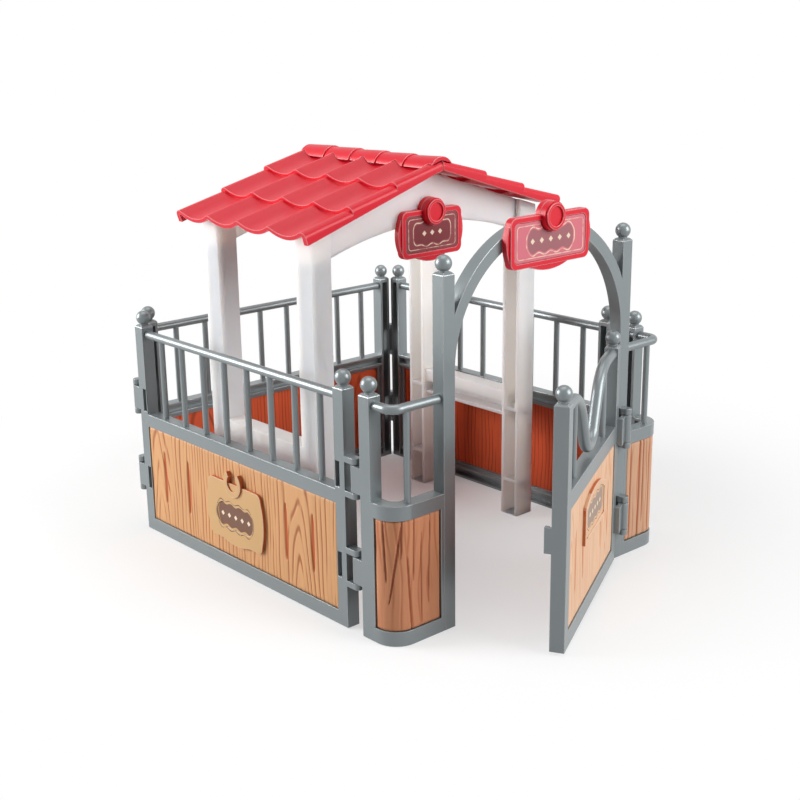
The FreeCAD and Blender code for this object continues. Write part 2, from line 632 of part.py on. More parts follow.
def slope_turn(side, sign=1):
    """Turn that lays local x along the fall of the right (+1) or left (-1) slope."""
    lean = FreeCAD.Rotation(V(0, 1, 0), sign * size("roof_angle"))
    return lean if side > 0 else FreeCAD.Rotation(V(0, 0, 1), 180).multiply(lean)


def above_roof(side):
    """Block that stands on the underside of a slope."""
    obj = doc.addObject("Part::Box", "Above")
    obj.Placement.Rotation = slope_turn(side)
    return bind(obj, {"Length": "2 * eave_reach", "Width": "2 * roof_length", "Height": "roof_length",
                      **base((0, f"{-side} * roof_length", "roof_apex - roof_seat"))})


def shelter_frame(side, label):
    posts, cuts = [], [above_roof(side)]
    for y in ("-half_depth", "half_depth - shelter_post"):
        posts.append(side_box(side, ("half_span", y, 0), ("shelter_post", "shelter_post", "roof_apex")))
        marks = ("0", "rib_low", "rib_high", "gable_spring")
        for low, high in zip(marks, marks[1:]):
            pocket_at = ("half_span - overrun", f"{y} + shelter_wall", f"{low} + shelter_wall / 2")
            cuts.append(side_box(side, pocket_at,
                                 ("shelter_post - shelter_wall + overrun", "shelter_post - 2 * shelter_wall",
                                  f"{high} - {low} - shelter_wall")))
    between = "shelter_depth - 2 * shelter_post"
    rail = side_box(side, ("half_shelter - low_rail_depth", "shelter_post - half_depth - shelter_wall",
                           "low_rail_top - low_rail_height"),
                    ("low_rail_depth", f"{between} + 2 * shelter_wall", "low_rail_height"))
    groove = side_box(side, ("half_shelter - low_rail_depth - overrun", "shelter_post - half_depth",
                             "low_rail_top - low_rail_height + shelter_wall"),
                      ("low_rail_depth - shelter_wall + overrun", between,
                       "low_rail_height / 2 - shelter_wall"))
    return fuse([cut(fuse(posts), cuts), cut(rail, [groove])], label)


def gable(face, peg, label):
    """Plate between two posts: arched below, following both slopes above."""
    span, spring = size("half_span"), size("gable_spring")
    apex = size("roof_apex") - size("roof_seat")
    shoulder = apex - span * math.tan(SLOPE)
    plate = pad([arc((-span, spring), (0, spring + size("gable_rise")), (span, spring)),
                 line((span, spring), (span, shoulder)), line((span, shoulder), (0, apex)),
                 line((0, apex), (-span, shoulder)), line((-span, shoulder), (-span, spring))],
                "gable_thickness", "XZ", (0, face, 0))
    if not peg:
        plate.Label = label
        return plate
    bore = rod((0, "gable_set - half_depth - overrun", "gable_sign_level + gable_sign_height / 2 - peg_drop"),
               "peg_shaft + 2 * board_gap", "peg_depth + overrun + board_gap", "y")
    return cut(plate, [bore], label)


def tile_outline(hollow):
    """Section through a row of tiles: narrow crests, wide troughs and turned-down verges."""
    count, pitch = int(size("tile_count")), size("tile_pitch")
    thick, crest, tip = size("tile_thickness"), size("tile_crest"), size("crest_radius")
    half = pitch / 2
    bowl = (half * half + crest * crest) / (2 * crest) - tip
    rise = size("tile_step")
    crest_z, bowl_z = rise + thick + crest - tip, rise + thick + bowl
    lean = math.degrees(math.atan2(bowl_z - crest_z, half))
    edge, lip, curve = size("roof_length") / 2, size("verge_width"), size("verge_radius")
    foot = -size("tile_step")
    crests = [(index - count / 2) * pitch for index in range(count + 1)]
    top, low = [], []
    for index, y in enumerate(crests):
        first = 90 if index == 0 else 180 - lean
        last = 90 if index == count else lean
        for chain, radius in ((top, tip), (low, tip - thick)):
            marks = [at_angle((y, crest_z), radius, turn) for turn in (first, (first + last) / 2, last)]
            chain.append(marks)
        if index < count:
            hub = (y + half, bowl_z)
            for chain, radius in ((top, bowl), (low, bowl + thick)):
                chain.append([at_angle(hub, radius, turn) for turn in (180 + lean, 270, 360 - lean)])
    shoulder = crest_z + tip
    hub_left, hub_right = (curve - edge, shoulder - curve), (edge - curve, shoulder - curve)
    outline = [arc(*marks) for marks in top]
    outline += [line((hub_left[0], shoulder), top[0][0]), line(top[-1][2], (hub_right[0], shoulder)),
                arc((-edge, hub_left[1]), at_angle(hub_left, curve, 135), (hub_left[0], shoulder)),
                arc((hub_right[0], shoulder), at_angle(hub_right, curve, 45), (edge, hub_right[1])),
                line((-edge, foot), (-edge, hub_left[1])), line((edge, hub_right[1]), (edge, foot))]
    if not hollow:
        return outline + [line((edge, foot), (-edge, foot))]
    ceiling = shoulder - thick
    outline += [arc(*marks) for marks in low]
    for sign, end in ((-1, low[0][0]), (1, low[-1][2])):
        outline += [line(end, (sign * (edge - lip), ceiling)),
                    line((sign * (edge - lip), ceiling), (sign * (edge - lip), foot)),
                    line((sign * (edge - lip), foot), (sign * edge, foot))]
    return outline


def tile_rows(side, hollow, lift=0.0):
    """Rows of tiles that lap each other up a slope: one padded row, repeated along the slope."""
    body = pad(tile_outline(hollow), "row_run / cos(roof_angle * 1deg) + row_lap", "YZ")
    row = body.Tip
    reach = size("row_run") / math.cos(SLOPE) + size("row_lap")
    row.UseCustomVector = True
    row.Direction = V(reach, 0, -size("tile_step"))
    row.AlongSketchNormal = True
    repeat = body.newObject("PartDesign::LinearPattern", "Rows")
    repeat.Originals = [row]
    repeat.Direction = (next(f for f in body.Origin.OriginFeatures if f.Role == "X_Axis"), [""])
    bind(repeat, {"Length": "(row_count - 1) * row_run / cos(roof_angle * 1deg)", "Occurrences": "row_count"})
    body.Tip = repeat
    body.Placement.Rotation = slope_turn(-side, -1)
    bind(body, base((f"{side} * eave_reach", 0, f"roof_apex - eave_reach * tan(roof_angle * 1deg) + {lift}")))
    return body


def roof_slope(side, label):
    """One slope: rows of tiles, trimmed level below, with the verges' feet trimmed a little higher."""
    rows = tile_rows(side, True)
    turn = rows.Placement.Rotation
    reach, length = size("eave_reach"), size("roof_length")
    eave = V(side * reach, 0, size("roof_apex") - reach * math.tan(SLOPE))
    inner = length / 2 - size("verge_width") - size("board_gap")
    trims = []
    for y, width, top in ((-length, 2 * length, 0), (-length, length - inner, size("verge_lift")),
                          (inner, length - inner, size("verge_lift"))):
        trim = doc.addObject("Part::Box", "Under")
        trim.Length, trim.Width, trim.Height = 2 * reach, width, length
        trim.Placement = FreeCAD.Placement(eave + turn.multVec(V(-reach / 2, y, top - length)), turn)
        trims.append(trim)
    beyond = side_box(side, ("slope_gap - eave_reach", "-roof_length", "roof_apex - roof_length / 2"),
                      ("eave_reach", "2 * roof_length", "roof_length"))
    return cut(rows, [*trims, beyond], label)


def roof_ridge(label):
    """Ridge roll of lapped lengths, hollowed to sit over the top rows of tiles."""
    count = int(size("ridge_count"))
    lengths = []
    for index in range(count):
        length = doc.addObject("Part::Cone", "Length")
        length.Placement.Rotation = TURNS["y"]
        start = f"ridge_length * ({index} / ridge_count - 0.5)"
        bind(length, {"Radius1": "ridge_radius", "Radius2": "ridge_radius - ridge_step",
                      "Height": "ridge_length / ridge_count", **base((0, start, "ridge_top - ridge_radius"))})
        lengths.append(length)
    below = box(("-2 * ridge_radius", "-roof_length", "ridge_top - ridge_drop - 4 * ridge_radius"),
                ("4 * ridge_radius", "2 * roof_length", "4 * ridge_radius"))
    tiles = [tile_rows(side, False, size("board_gap")) for side in (-1, 1)]
    return cut(fuse(lengths), [below, *tiles], label)


for side, word in ((-1, "left"), (1, "right")):
    pieces.append(shelter_frame(side, f"{word}_shelter_frame"))
    pieces.append(roof_slope(side, f"{word}_roof_slope"))
pieces.append(gable("gable_thickness + gable_set - half_depth", True, "front_gable"))
pieces.append(gable("half_depth - gable_set", False, "rear_gable"))
pieces.append(roof_ridge("roof_ridge"))

# Signs: a board with a recess, a plate in the recess and a peg through the board's ear


def sign(word, face):
    """Board with a raised rim round a recess, the plate in the recess and the peg."""
    width, height, level = (size(f"{word}_sign_{part}") for part in ("width", "height", "level"))
    centre, rim, gap, corner = (0, level), size("sign_rim"), size("board_gap"), size("plate_corner")
    peg_at = f"{word}_sign_level + {word}_sign_height / 2 - peg_drop"
    front = f"{face} - sign_thickness"
    ear = size("peg_size") / 2 + size("ear_rim")
    stock = pad(bulged_plate(width, height, centre, size("sign_lobe"), ear),
                "sign_thickness - sign_lift", "XZ", (0, face, 0))
    inner = width - 2 * size("sign_bulge")
    raised = pad(round_plate(inner, height, size("sign_corner"), centre), "sign_thickness", "XZ",
                 (0, face, 0))
    wide, tall = inner - 2 * rim, height - 2 * rim
    recess = pad(round_plate(wide, tall, corner, centre), "sign_recess + overrun", "XZ",
                 (0, f"{front} + sign_recess", 0))
    before, through = f"{front} - overrun", "sign_thickness + 2 * overrun"
    shaft_hole = rod((0, before, peg_at), "peg_shaft + 2 * board_gap", through, "y")
    board = cut(fuse([stock, raised]), [recess, shaft_hole], f"{word}_sign_board")
    clear = rod((0, before, peg_at), "peg_size + 2 * overrun", through, "y")
    insert = pad(round_plate(wide - 2 * gap, tall - 2 * gap, corner - gap, centre), "plate_thickness", "XZ",
                 (0, f"{front} + sign_recess", 0))
    plate = cut(insert, [clear], f"{word}_sign_plate")
    head = rod((0, f"{front} - peg_height", peg_at), "peg_size", "peg_height", "y")
    dish = rod((0, f"{before} - peg_height", peg_at), "peg_size - 2 * dish_rim", "dish_depth + overrun", "y")
    shaft = rod((0, f"{front} - root", peg_at), "peg_shaft", "sign_thickness + peg_depth", "y")
    peg = fuse([cut(head, [dish]), shaft], f"{word}_sign_peg")
    return [board, plate, peg]


pieces += sign("arch", "-front") + sign("gable", "gable_set - half_depth")

# Every piece is checked before it is written

doc.recompute()
for obj in doc.Objects:
    if "Invalid" in obj.State or "Error" in obj.State:
        raise RuntimeError(f"{obj.Name} did not recompute: {obj.State}")
os.makedirs("parts", exist_ok=True)
for piece in pieces:
    shape = piece.Shape.translated(V(0, size("pen_centre"), 0))
    if shape.isNull() or not shape.isValid() or shape.Volume <= 0:
        raise RuntimeError(f"{piece.Label} has no sound solid")
    shape.exportStep(f"parts/{piece.Label}.step")
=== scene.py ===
# %% [markdown]
# # A toy horse stable
#
# The stable is a set of plastic mouldings: grey fence panels on clip hinges, a gateway with a gate, and a
# white shelter under a red tiled roof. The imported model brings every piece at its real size, and this
# lesson gives the pieces their finish: rounded edges, engraved planks, printed signs and studio light.

import json
import math
from functools import partial

import bmesh
import bpy
from mathutils import Matrix, Vector

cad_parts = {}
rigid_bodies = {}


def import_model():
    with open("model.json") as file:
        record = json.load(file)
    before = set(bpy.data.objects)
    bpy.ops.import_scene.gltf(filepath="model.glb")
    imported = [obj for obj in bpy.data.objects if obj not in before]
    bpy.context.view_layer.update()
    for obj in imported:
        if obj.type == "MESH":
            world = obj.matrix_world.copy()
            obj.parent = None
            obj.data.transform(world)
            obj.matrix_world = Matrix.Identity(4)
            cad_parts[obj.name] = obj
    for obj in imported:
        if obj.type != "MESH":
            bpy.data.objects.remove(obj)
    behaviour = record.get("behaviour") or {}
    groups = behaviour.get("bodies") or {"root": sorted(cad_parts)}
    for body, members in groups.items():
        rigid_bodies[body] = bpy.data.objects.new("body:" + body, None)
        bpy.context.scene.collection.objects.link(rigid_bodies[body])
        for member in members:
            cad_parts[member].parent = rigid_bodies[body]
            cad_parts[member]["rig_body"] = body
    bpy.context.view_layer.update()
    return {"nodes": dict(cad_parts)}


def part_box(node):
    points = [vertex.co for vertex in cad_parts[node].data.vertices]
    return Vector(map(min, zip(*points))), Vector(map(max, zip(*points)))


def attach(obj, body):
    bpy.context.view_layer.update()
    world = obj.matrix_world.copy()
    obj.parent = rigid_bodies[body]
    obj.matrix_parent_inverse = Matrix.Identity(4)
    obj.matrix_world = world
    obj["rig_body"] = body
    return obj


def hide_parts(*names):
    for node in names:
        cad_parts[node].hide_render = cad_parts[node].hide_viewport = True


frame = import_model()
nodes = frame["nodes"]
scene = bpy.context.scene
scene.view_settings.view_transform = "Standard"
MM = 0.001

# %% [markdown]
# ## The camera
#
# The picture was taken from the front left, a little above the roof's eaves. The camera is given as a
# place and three turns, because those are what a photographer would set on a tripod.

# %% Camera
EYE = Vector((-386.6, -417.04, 237.73)) * MM
AZIMUTH, ELEVATION, ROLL = (math.radians(a) for a in (-41.64, 16.44, -0.80))
LENS_MM, NEAREST, FARTHEST = 59.77, 0.02, 20.0


def tripod(eye, azimuth, elevation, roll):
    """Camera matrix: azimuth turns about the vertical from a look along +Y, elevation looks down."""
    turn = Matrix.Rotation(azimuth, 4, "Z") @ Matrix.Rotation(math.pi / 2 - elevation, 4, "X")
    return Matrix.Translation(eye) @ turn @ Matrix.Rotation(roll, 4, "Z")


lens = bpy.data.cameras.new("photo_camera")
lens.lens = LENS_MM
lens.clip_start, lens.clip_end = NEAREST, FARTHEST
camera = bpy.data.objects.new("photo_camera", lens)
scene.collection.objects.link(camera)
camera.matrix_world = tripod(EYE, AZIMUTH, ELEVATION, ROLL)
scene.camera = camera
print("camera looks along", tuple(round(-c, 4) for c in camera.matrix_world.col[2][:3]))

# %% [markdown]
# ## Wiring nodes by hand
#
# Materials, geometry and the sky are all node trees. A few small helpers keep their wiring readable: one
# feeds a socket with a value or a link, one adds a node with its inputs fed by name, one adds a step of
# arithmetic and one a smooth step. Groups get their sockets from plain values: the kind of value says
# which kind of socket is meant.

# %% Helpers for node trees
def feed(tree, socket, value):
    """Links a socket's value in, or sets a plain one."""
    if isinstance(value, bpy.types.NodeSocket):
        tree.links.new(value, socket)
    else:
        socket.default_value = value


def add(tree, kind, settings=None, **inputs):
    """A new node: its settings made, and its inputs fed by name, with _ for a space."""
    node = tree.nodes.new(kind)
    for key, value in (settings or {}).items():
        setattr(node, key, value)
    for key, value in inputs.items():
        feed(tree, node.inputs[key.replace("_", " ")], value)
    return node


def calc(tree, operation, *values, clamp=False):
    """One step of arithmetic on values or sockets."""
    node = add(tree, "ShaderNodeMath", {"operation": operation, "use_clamp": clamp})
    for socket, value in zip(node.inputs, values):
        feed(tree, socket, value)
    return node.outputs[0]


def ramp(tree, value, low, high, start=0.0, end=1.0):
    """A smooth step from start to end as a value goes from low to high."""
    node = add(tree, "ShaderNodeMapRange", {"interpolation_type": "SMOOTHSTEP"}, Value=value,
               From_Min=low, From_Max=high, To_Min=start, To_Max=end)
    return node.outputs[0]


SOCKETS = {float: "NodeSocketFloat", int: "NodeSocketInt", Vector: "NodeSocketVector",
           tuple: "NodeSocketColor", str: "NodeSocketGeometry", type(None): "NodeSocketMaterial"}


def new_group(kind, name, inputs, outputs):
    """An empty node group with named sockets; returns the tree, its inputs and its outputs."""
    tree = bpy.data.node_groups.new(name, kind)
    for label, value in inputs.items():
        socket = tree.interface.new_socket(name=label, in_out="INPUT", socket_type=SOCKETS[type(value)])
        if not isinstance(value, (str, type(None))):
            socket.default_value = value
    for label, socket_type in outputs.items():
        tree.interface.new_socket(name=label, in_out="OUTPUT", socket_type=socket_type)
    source, sink = add(tree, "NodeGroupInput"), add(tree, "NodeGroupOutput")
    return tree, source.outputs, sink.inputs


def srgb(red, green, blue):
    """A colour as a picture shows it, 0 to 255, turned into the linear values that shaders take."""
    shares = (c / 255 for c in (red, green, blue))
    return (*(c / 12.92 if c <= 0.04045 else ((c + 0.055) / 1.055) ** 2.4 for c in shares), 1.0)


print("a picture's mid grey in linear light:", round(srgb(128, 128, 128)[0], 3))

# %% [markdown]
# ## Floor, sky and light
#
# The object stands on white paper that runs out of sight. Rays that show the background, which are those
# of the camera and of reflections, find a white sky and paper that turns to plain white away from the
# pen. Near the pen the paper keeps its soft shadows, but a painted glow lifts them: faint at the pen,
# it grows to nearly half white within a tenth of a metre. For all other rays both are dim, so the white
# doesn't flood the object with light. Two soft boxes give the shape, one from the left and a little
# behind, one from the right in front, and a wide one overhead fills the rest.

# %% Sky
AMBIENT = 0.06
world = bpy.data.worlds.new("studio_sky")
scene.world = world
world.use_nodes = True
sky = world.node_tree


def background_rays(tree):
    """1 for the rays that show the background: those of the camera, of reflections and through glass."""
    path = add(tree, "ShaderNodeLightPath").outputs
    mirrored = calc(tree, "MAXIMUM", path["Is Glossy Ray"], path["Is Transmission Ray"])
    return calc(tree, "MAXIMUM", path["Is Camera Ray"], mirrored)


seen = background_rays(sky)
feed(sky, sky.nodes["Background"].inputs["Color"], (1, 1, 1, 1))
feed(sky, sky.nodes["Background"].inputs["Strength"], ramp(sky, seen, 0, 1, AMBIENT, 1.0))
print("sky strength:", AMBIENT, "as light, 1 as background")

# %% Floor
PAPER_HALF, PAPER_DROP, PAPER_ROUGHNESS = 3.0, 0.2 * MM, 0.7
PEN_CORNER, SHADOW_REACH, WHITE_REACH = (0.045, 0.075, 0.0), 0.10, (0.13, 0.27)
PAPER_SEEN, PAPER_BOUNCE, PEN_CORNER_GLOW, PAPER_GLOW = 0.93, 0.48, 0.03, 0.42
PAPER_SIGNS = ((-1, -1), (1, -1), (1, 1), (-1, 1))


def white_paper():
    """Paper that keeps its shadows near the pen, lifted by a painted glow that grows away from it, and is
    plain white far from it.
    """
    paint = bpy.data.materials.new("white_paper")
    paint.use_nodes = True
    tree = paint.node_tree
    shader = tree.nodes["Principled BSDF"]
    feed(tree, shader.inputs["Roughness"], PAPER_ROUGHNESS)
    place = add(tree, "ShaderNodeTexCoord").outputs["Object"]
    apart = add(tree, "ShaderNodeVectorMath", {"operation": "DISTANCE"})
    feed(tree, apart.inputs[0], place)
    feed(tree, apart.inputs[1], PEN_CORNER)
    reach = apart.outputs["Value"]
    seen = background_rays(tree)
    paper = calc(tree, "MULTIPLY_ADD", seen, PAPER_SEEN - PAPER_BOUNCE, PAPER_BOUNCE)
    feed(tree, shader.inputs["Base Color"], paper)
    # painted glow that lifts the paper's shadows, faint at the pen's corner and stronger further out
    near = ramp(tree, reach, 0.0, SHADOW_REACH, PEN_CORNER_GLOW, PAPER_GLOW)
    far = ramp(tree, reach, *WHITE_REACH, 0.0, 1.0 - PAPER_GLOW)
    white = calc(tree, "MULTIPLY", calc(tree, "ADD", near, far), seen)
    glow = add(tree, "ShaderNodeEmission", None, Color=(1, 1, 1, 1), Strength=1.0)
    both = add(tree, "ShaderNodeMixShader", None, Fac=white)
    tree.links.new(shader.outputs[0], both.inputs[1])
    tree.links.new(glow.outputs[0], both.inputs[2])
    tree.links.new(both.outputs[0], tree.nodes["Material Output"].inputs["Surface"])
    return paint


paper = bpy.data.meshes.new("paper_floor")
paper_corners = [(x * PAPER_HALF, y * PAPER_HALF, -PAPER_DROP) for x, y in PAPER_SIGNS]
paper.from_pydata(paper_corners, [], [(0, 1, 2, 3)])
paper.materials.append(white_paper())
floor = bpy.data.objects.new("paper_floor", paper)
scene.collection.objects.link(floor)
print("paper keeps its shadows for", SHADOW_REACH, "m and is white from", WHITE_REACH[1], "m")

# %% Lamps
def soft_box(name, place, target, size, power):
    """A square lamp at a place, turned to a target; size in metres, power in watts."""
    light = bpy.data.lights.new(name, "AREA")
    light.shape = "SQUARE"
    light.size = size
    light.energy = power
    lamp = bpy.data.objects.new(name, light)
    scene.collection.objects.link(lamp)
    lamp.location = place
    lamp.rotation_euler = (Vector(target) - Vector(place)).to_track_quat("-Z", "Y").to_euler()


AIM = (0, 0, 0.08)
soft_box("left_box", (-0.62, 0.60, 0.34), AIM, 0.5, 9.4)
soft_box("right_box", (0.75, -1.5, 0.75), AIM, 1.2, 31)
soft_box("top_box", (0.1, 0.1, 2.0), AIM, 1.6, 15)

# %% [markdown]
# ## Moulded plastic
#
# Every piece is injection-moulded, so they share one skin: a little cloudiness in the colour, a fine
# satin grain, and edges that the tool left smoother, with a painted highlight that lightens them towards
# white. The skin is a node group, built once and placed in each plastic with its own colour, gloss and
# strength of painted rim highlight. The rim mask comes from the mesh, where rounded edges are marked. Two
# plastics have a trait of their own. The grey holds a fine metal flake, so part of it reflects as metal
# does, and the white lets light in a little way, which keeps its shaded sides warm and bright.

# %% Shared skin
SHADER, WHITE = "ShaderNodeTree", (1.0, 1.0, 1.0, 1.0)
LOOK = {"Colour": "NodeSocketColor", "Roughness": "NodeSocketFloat", "Height": "NodeSocketFloat"}
CLOUD_SCALE, SATIN_SCALE, GRIT_SCALE = 38.0, 800.0, 4200.0
CLOUD_SHADE, SATIN_ROUGHNESS, RIM_ROUGHNESS, SATIN_HEIGHT = 0.12, 0.10, -0.08, 0.5
moulded_skin, skin_in, skin_out = new_group(SHADER, "moulded_skin", {
    "Coordinates": Vector(), "Colour": (0.5, 0.5, 0.5, 1.0), "Rim": 0.0, "Rim Light": 0.2,
    "Roughness": 0.4}, LOOK)


def noise(tree, place, scale, detail=2.0):
    """Soft noise, 0 to 1, with a feature of 1 / scale metres."""
    return add(tree, "ShaderNodeTexNoise", None, Vector=place, Scale=scale, Detail=detail).outputs[0]


def blend(tree, share, first, second):
    """Mixes two colours."""
    node = add(tree, "ShaderNodeMix", {"data_type": "RGBA"})
    feed(tree, node.inputs[0], share)
    feed(tree, node.inputs[6], first)
    feed(tree, node.inputs[7], second)
    return node.outputs[2]


on_skin = partial(calc, moulded_skin)
cloud = noise(moulded_skin, skin_in["Coordinates"], CLOUD_SCALE)
satin = noise(moulded_skin, skin_in["Coordinates"], SATIN_SCALE)
grit = noise(moulded_skin, skin_in["Coordinates"], GRIT_SCALE, 1.0)
shade = on_skin("MULTIPLY_ADD", cloud, CLOUD_SHADE, 1.0 - CLOUD_SHADE / 2)
# painted highlight: the rounded edges are lightened towards white
wear_and_highlight = on_skin("MULTIPLY", skin_in["Rim"], skin_in["Rim Light"])
tone = add(moulded_skin, "ShaderNodeHueSaturation", None, Value=shade, Color=skin_in["Colour"]).outputs[0]
smooth = on_skin("SUBTRACT", skin_in["Roughness"], SATIN_ROUGHNESS / 2)
rough = on_skin("MULTIPLY_ADD", satin, SATIN_ROUGHNESS, smooth)
feed(moulded_skin, skin_out["Colour"], blend(moulded_skin, wear_and_highlight, tone, WHITE))
feed(moulded_skin, skin_out["Roughness"], on_skin("MULTIPLY_ADD", skin_in["Rim"], RIM_ROUGHNESS, rough))
feed(moulded_skin, skin_out["Height"], on_skin("MULTIPLY_ADD", satin, SATIN_HEIGHT, grit))
print("skin nodes:", len(moulded_skin.nodes))

# %% Plastics
PLASTIC_SHINE, METAL_FLAKE = 0.32, 0.45
GLOW_DEPTH, GLOW_SPREAD = 12 * MM, (1.0, 0.86, 0.72)


def new_finish(name):
    """An empty material; returns it with its tree, its shader and its object coordinates."""
    finish = bpy.data.materials.new(name)
    finish.use_nodes = True
    tree = finish.node_tree
    shader = tree.nodes["Principled BSDF"]
    shader.inputs["Specular IOR Level"].default_value = PLASTIC_SHINE
    return finish, tree, shader, add(tree, "ShaderNodeTexCoord").outputs["Object"]


def attribute(tree, name):
    """A value that the mesh keeps under a name."""
    return add(tree, "ShaderNodeAttribute", {"attribute_name": name}).outputs["Fac"]


def relief(tree, shader, height, depth, strength=0.3):
    """Feeds a height to the shader's normal as a shallow bump, depth in metres."""
    bump = add(tree, "ShaderNodeBump", None, Height=height, Distance=depth, Strength=strength)
    feed(tree, shader.inputs["Normal"], bump.outputs[0])


def dress(tree, shader, look):
    """Feeds a group's colour and roughness to the shader."""
    feed(tree, shader.inputs["Base Color"], look.outputs["Colour"])
    feed(tree, shader.inputs["Roughness"], look.outputs["Roughness"])


def plastic(name, colour, roughness, rim_highlight, grain=0.03, **constants):
    """A plain plastic: the skin with a colour and a painted rim highlight; grain is in millimetres, constants
    go to shader sockets.
    """
    finish, tree, shader, place = new_finish(name)
    skin = add(tree, "ShaderNodeGroup", {"node_tree": moulded_skin}, Coordinates=place, Colour=colour,
               Rim=attribute(tree, "rim"), Rim_Light=rim_highlight, Roughness=roughness)
    dress(tree, shader, skin)
    relief(tree, shader, skin.outputs["Height"], grain * MM)
    for label, value in constants.items():
        shader.inputs[label.replace("_", " ")].default_value = value
    return finish


# the third number of each plastic is the strength of its painted rim highlight
FINISHES = {
    "grey_plastic": plastic("satin_grey_plastic", srgb(133, 140, 142), 0.32, 0.14, 0.014,
                            Metallic=METAL_FLAKE),
    "red_plastic": plastic("warm_red_plastic", srgb(216, 22, 44), 0.36, 0.16),
    "white_plastic": plastic("cream_white_plastic", srgb(238, 236, 232), 0.42, 0.04, Subsurface_Weight=1.0,
                             Subsurface_Radius=GLOW_SPREAD, Subsurface_Scale=GLOW_DEPTH),
}
print("plastics:", sorted(FINISHES))

# %% [markdown]
# ## Rounded edges
#
# No moulded edge is knife sharp, and the thin highlight along it is what makes plastic read as plastic.
# The imported meshes are loose triangles, so each piece is copied, its triangles are merged back into flat
# faces, and its outer corners are bevelled by a fraction of a millimetre. The new faces are marked for
# the skin, which makes them smoother and paints a highlight on them.

# %% Rounded copies
WELD = 1e-6
FLAT_ANGLE, CORNER_ANGLE, CREASE_ANGLE = math.radians(0.6), math.radians(38), math.radians(34)


def settle(piece):
    """Turns a piece with modifiers into a plain mesh."""
    graph = bpy.context.evaluated_depsgraph_get()
    mesh = bpy.data.meshes.new_from_object(piece.evaluated_get(graph), preserve_all_data_layers=True,
                                           depsgraph=graph)
    piece.modifiers.clear()
    piece.data = mesh
    mesh.name = piece.name
    return piece


def outer_corner(edge):
    return edge.is_manifold and edge.is_convex and edge.calc_face_angle() > CORNER_ANGLE


def eased(name, width, segments=2):
    """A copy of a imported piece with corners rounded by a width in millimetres."""
    form = bmesh.new()
    form.from_mesh(nodes[name].data)
    rim = form.faces.layers.float.new("rim")
    bmesh.ops.remove_doubles(form, verts=form.verts, dist=WELD)
    bmesh.ops.dissolve_limit(form, angle_limit=FLAT_ANGLE, verts=form.verts, edges=form.edges)
    corners = [edge for edge in form.edges if outer_corner(edge)]
    made = bmesh.ops.bevel(form, geom=corners, offset=width * MM, offset_type="OFFSET", segments=segments,
                           profile=0.5, affect="EDGES", clamp_overlap=False, loop_slide=True)
    for face in made["faces"]:
        face[rim] = 1.0
    for face in form.faces:
        face.smooth = True
    for edge in form.edges:
        edge.smooth = not edge.is_manifold or edge.calc_face_angle() < CREASE_ANGLE
    mesh = bpy.data.meshes.new(f"{name}_eased")
    form.to_mesh(mesh)
    form.free()
    if "custom_normal" in mesh.attributes:
        mesh.attributes.remove(mesh.attributes["custom_normal"])
    piece = bpy.data.objects.new(f"{name}_eased", mesh)
    scene.collection.objects.link(piece)
    weigh = piece.modifiers.new("flat_faces", "WEIGHTED_NORMAL")
    weigh.keep_sharp = True
    return settle(piece)


def stand_for(piece, name, finish=None):
    """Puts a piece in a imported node's stead: on its body, with its slot and a finish."""
    slot_name = nodes[name].data.materials[0].name
    piece.data.materials.clear()
    piece.data.materials.append(finish or FINISHES[slot_name])
    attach(piece, nodes[name]["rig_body"])
    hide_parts(name)
    return piece


EASED = {
    0.22: ("front_arch", "left_corner_frame", "right_corner_frame", "left_fence_frame", "right_fence_frame",
           "rear_fence_frame", "gate_frame"),
    0.40: ("left_shelter_frame", "right_shelter_frame", "front_gable", "rear_gable"),
    0.28: ("left_roof_slope", "right_roof_slope", "roof_ridge"),
    0.35: ("arch_sign_board", "gable_sign_board", "arch_sign_peg", "gable_sign_peg"),
}
for width, names in EASED.items():
    for name in names:
        piece = stand_for(eased(name, width), name)
        print(piece.name, len(piece.data.polygons), "faces")

# %% [markdown]
# ## Engraved planks
#
# The boards are moulded with wood grain: fine lines that run up the board, bend round two arched figures,
# and break off here and there, and a few deep scores. A brush of dark paint has stayed in the hollows.
# All of it follows one rule along the board and up it, so the board is grown by a node tree and not
# carved by hand: a grid is thickened, its face is sunk along the grain, and the whole sheet is laid along
# a straight or a bent line. The deep scores come first. Each is a groove with a place, a height, a lean
# and a width.

# %% Deep scores
SCORE_LEVEL, SCORE_HALF, SCORE_WIDTH, SCORE_CORE = 23.4, 12.8, 2.6, 0.5
FENCE_LENGTH, GATE_LENGTH, NOT_ZERO = 137.5, 83.7, 1e-6


def score_mask(tree, along, up, middle, level, half, lean, width):
    """1 in the middle of one deep score, which tapers at both ends, and 0 outside it."""
    step = partial(calc, tree)
    rise = step("SUBTRACT", up, level)
    share = step("DIVIDE", rise, half)
    square = step("MULTIPLY", share, share)
    taper = step("SQRT", step("SUBTRACT", 1.0, step("MULTIPLY", square, square), clamp=True))
    off = step("MULTIPLY_ADD", rise, -lean, step("SUBTRACT", along, middle))
    room = step("MULTIPLY_ADD", taper, width / 2, NOT_ZERO)
    return ramp(tree, step("DIVIDE", step("ABSOLUTE", off), room), 1.0, SCORE_CORE)


def level_scores(length, shares):
    """Upright scores at shares of a board's length, in millimetres."""
    return [(length * share, SCORE_LEVEL, SCORE_HALF, 0.0, SCORE_WIDTH) for share in shares]


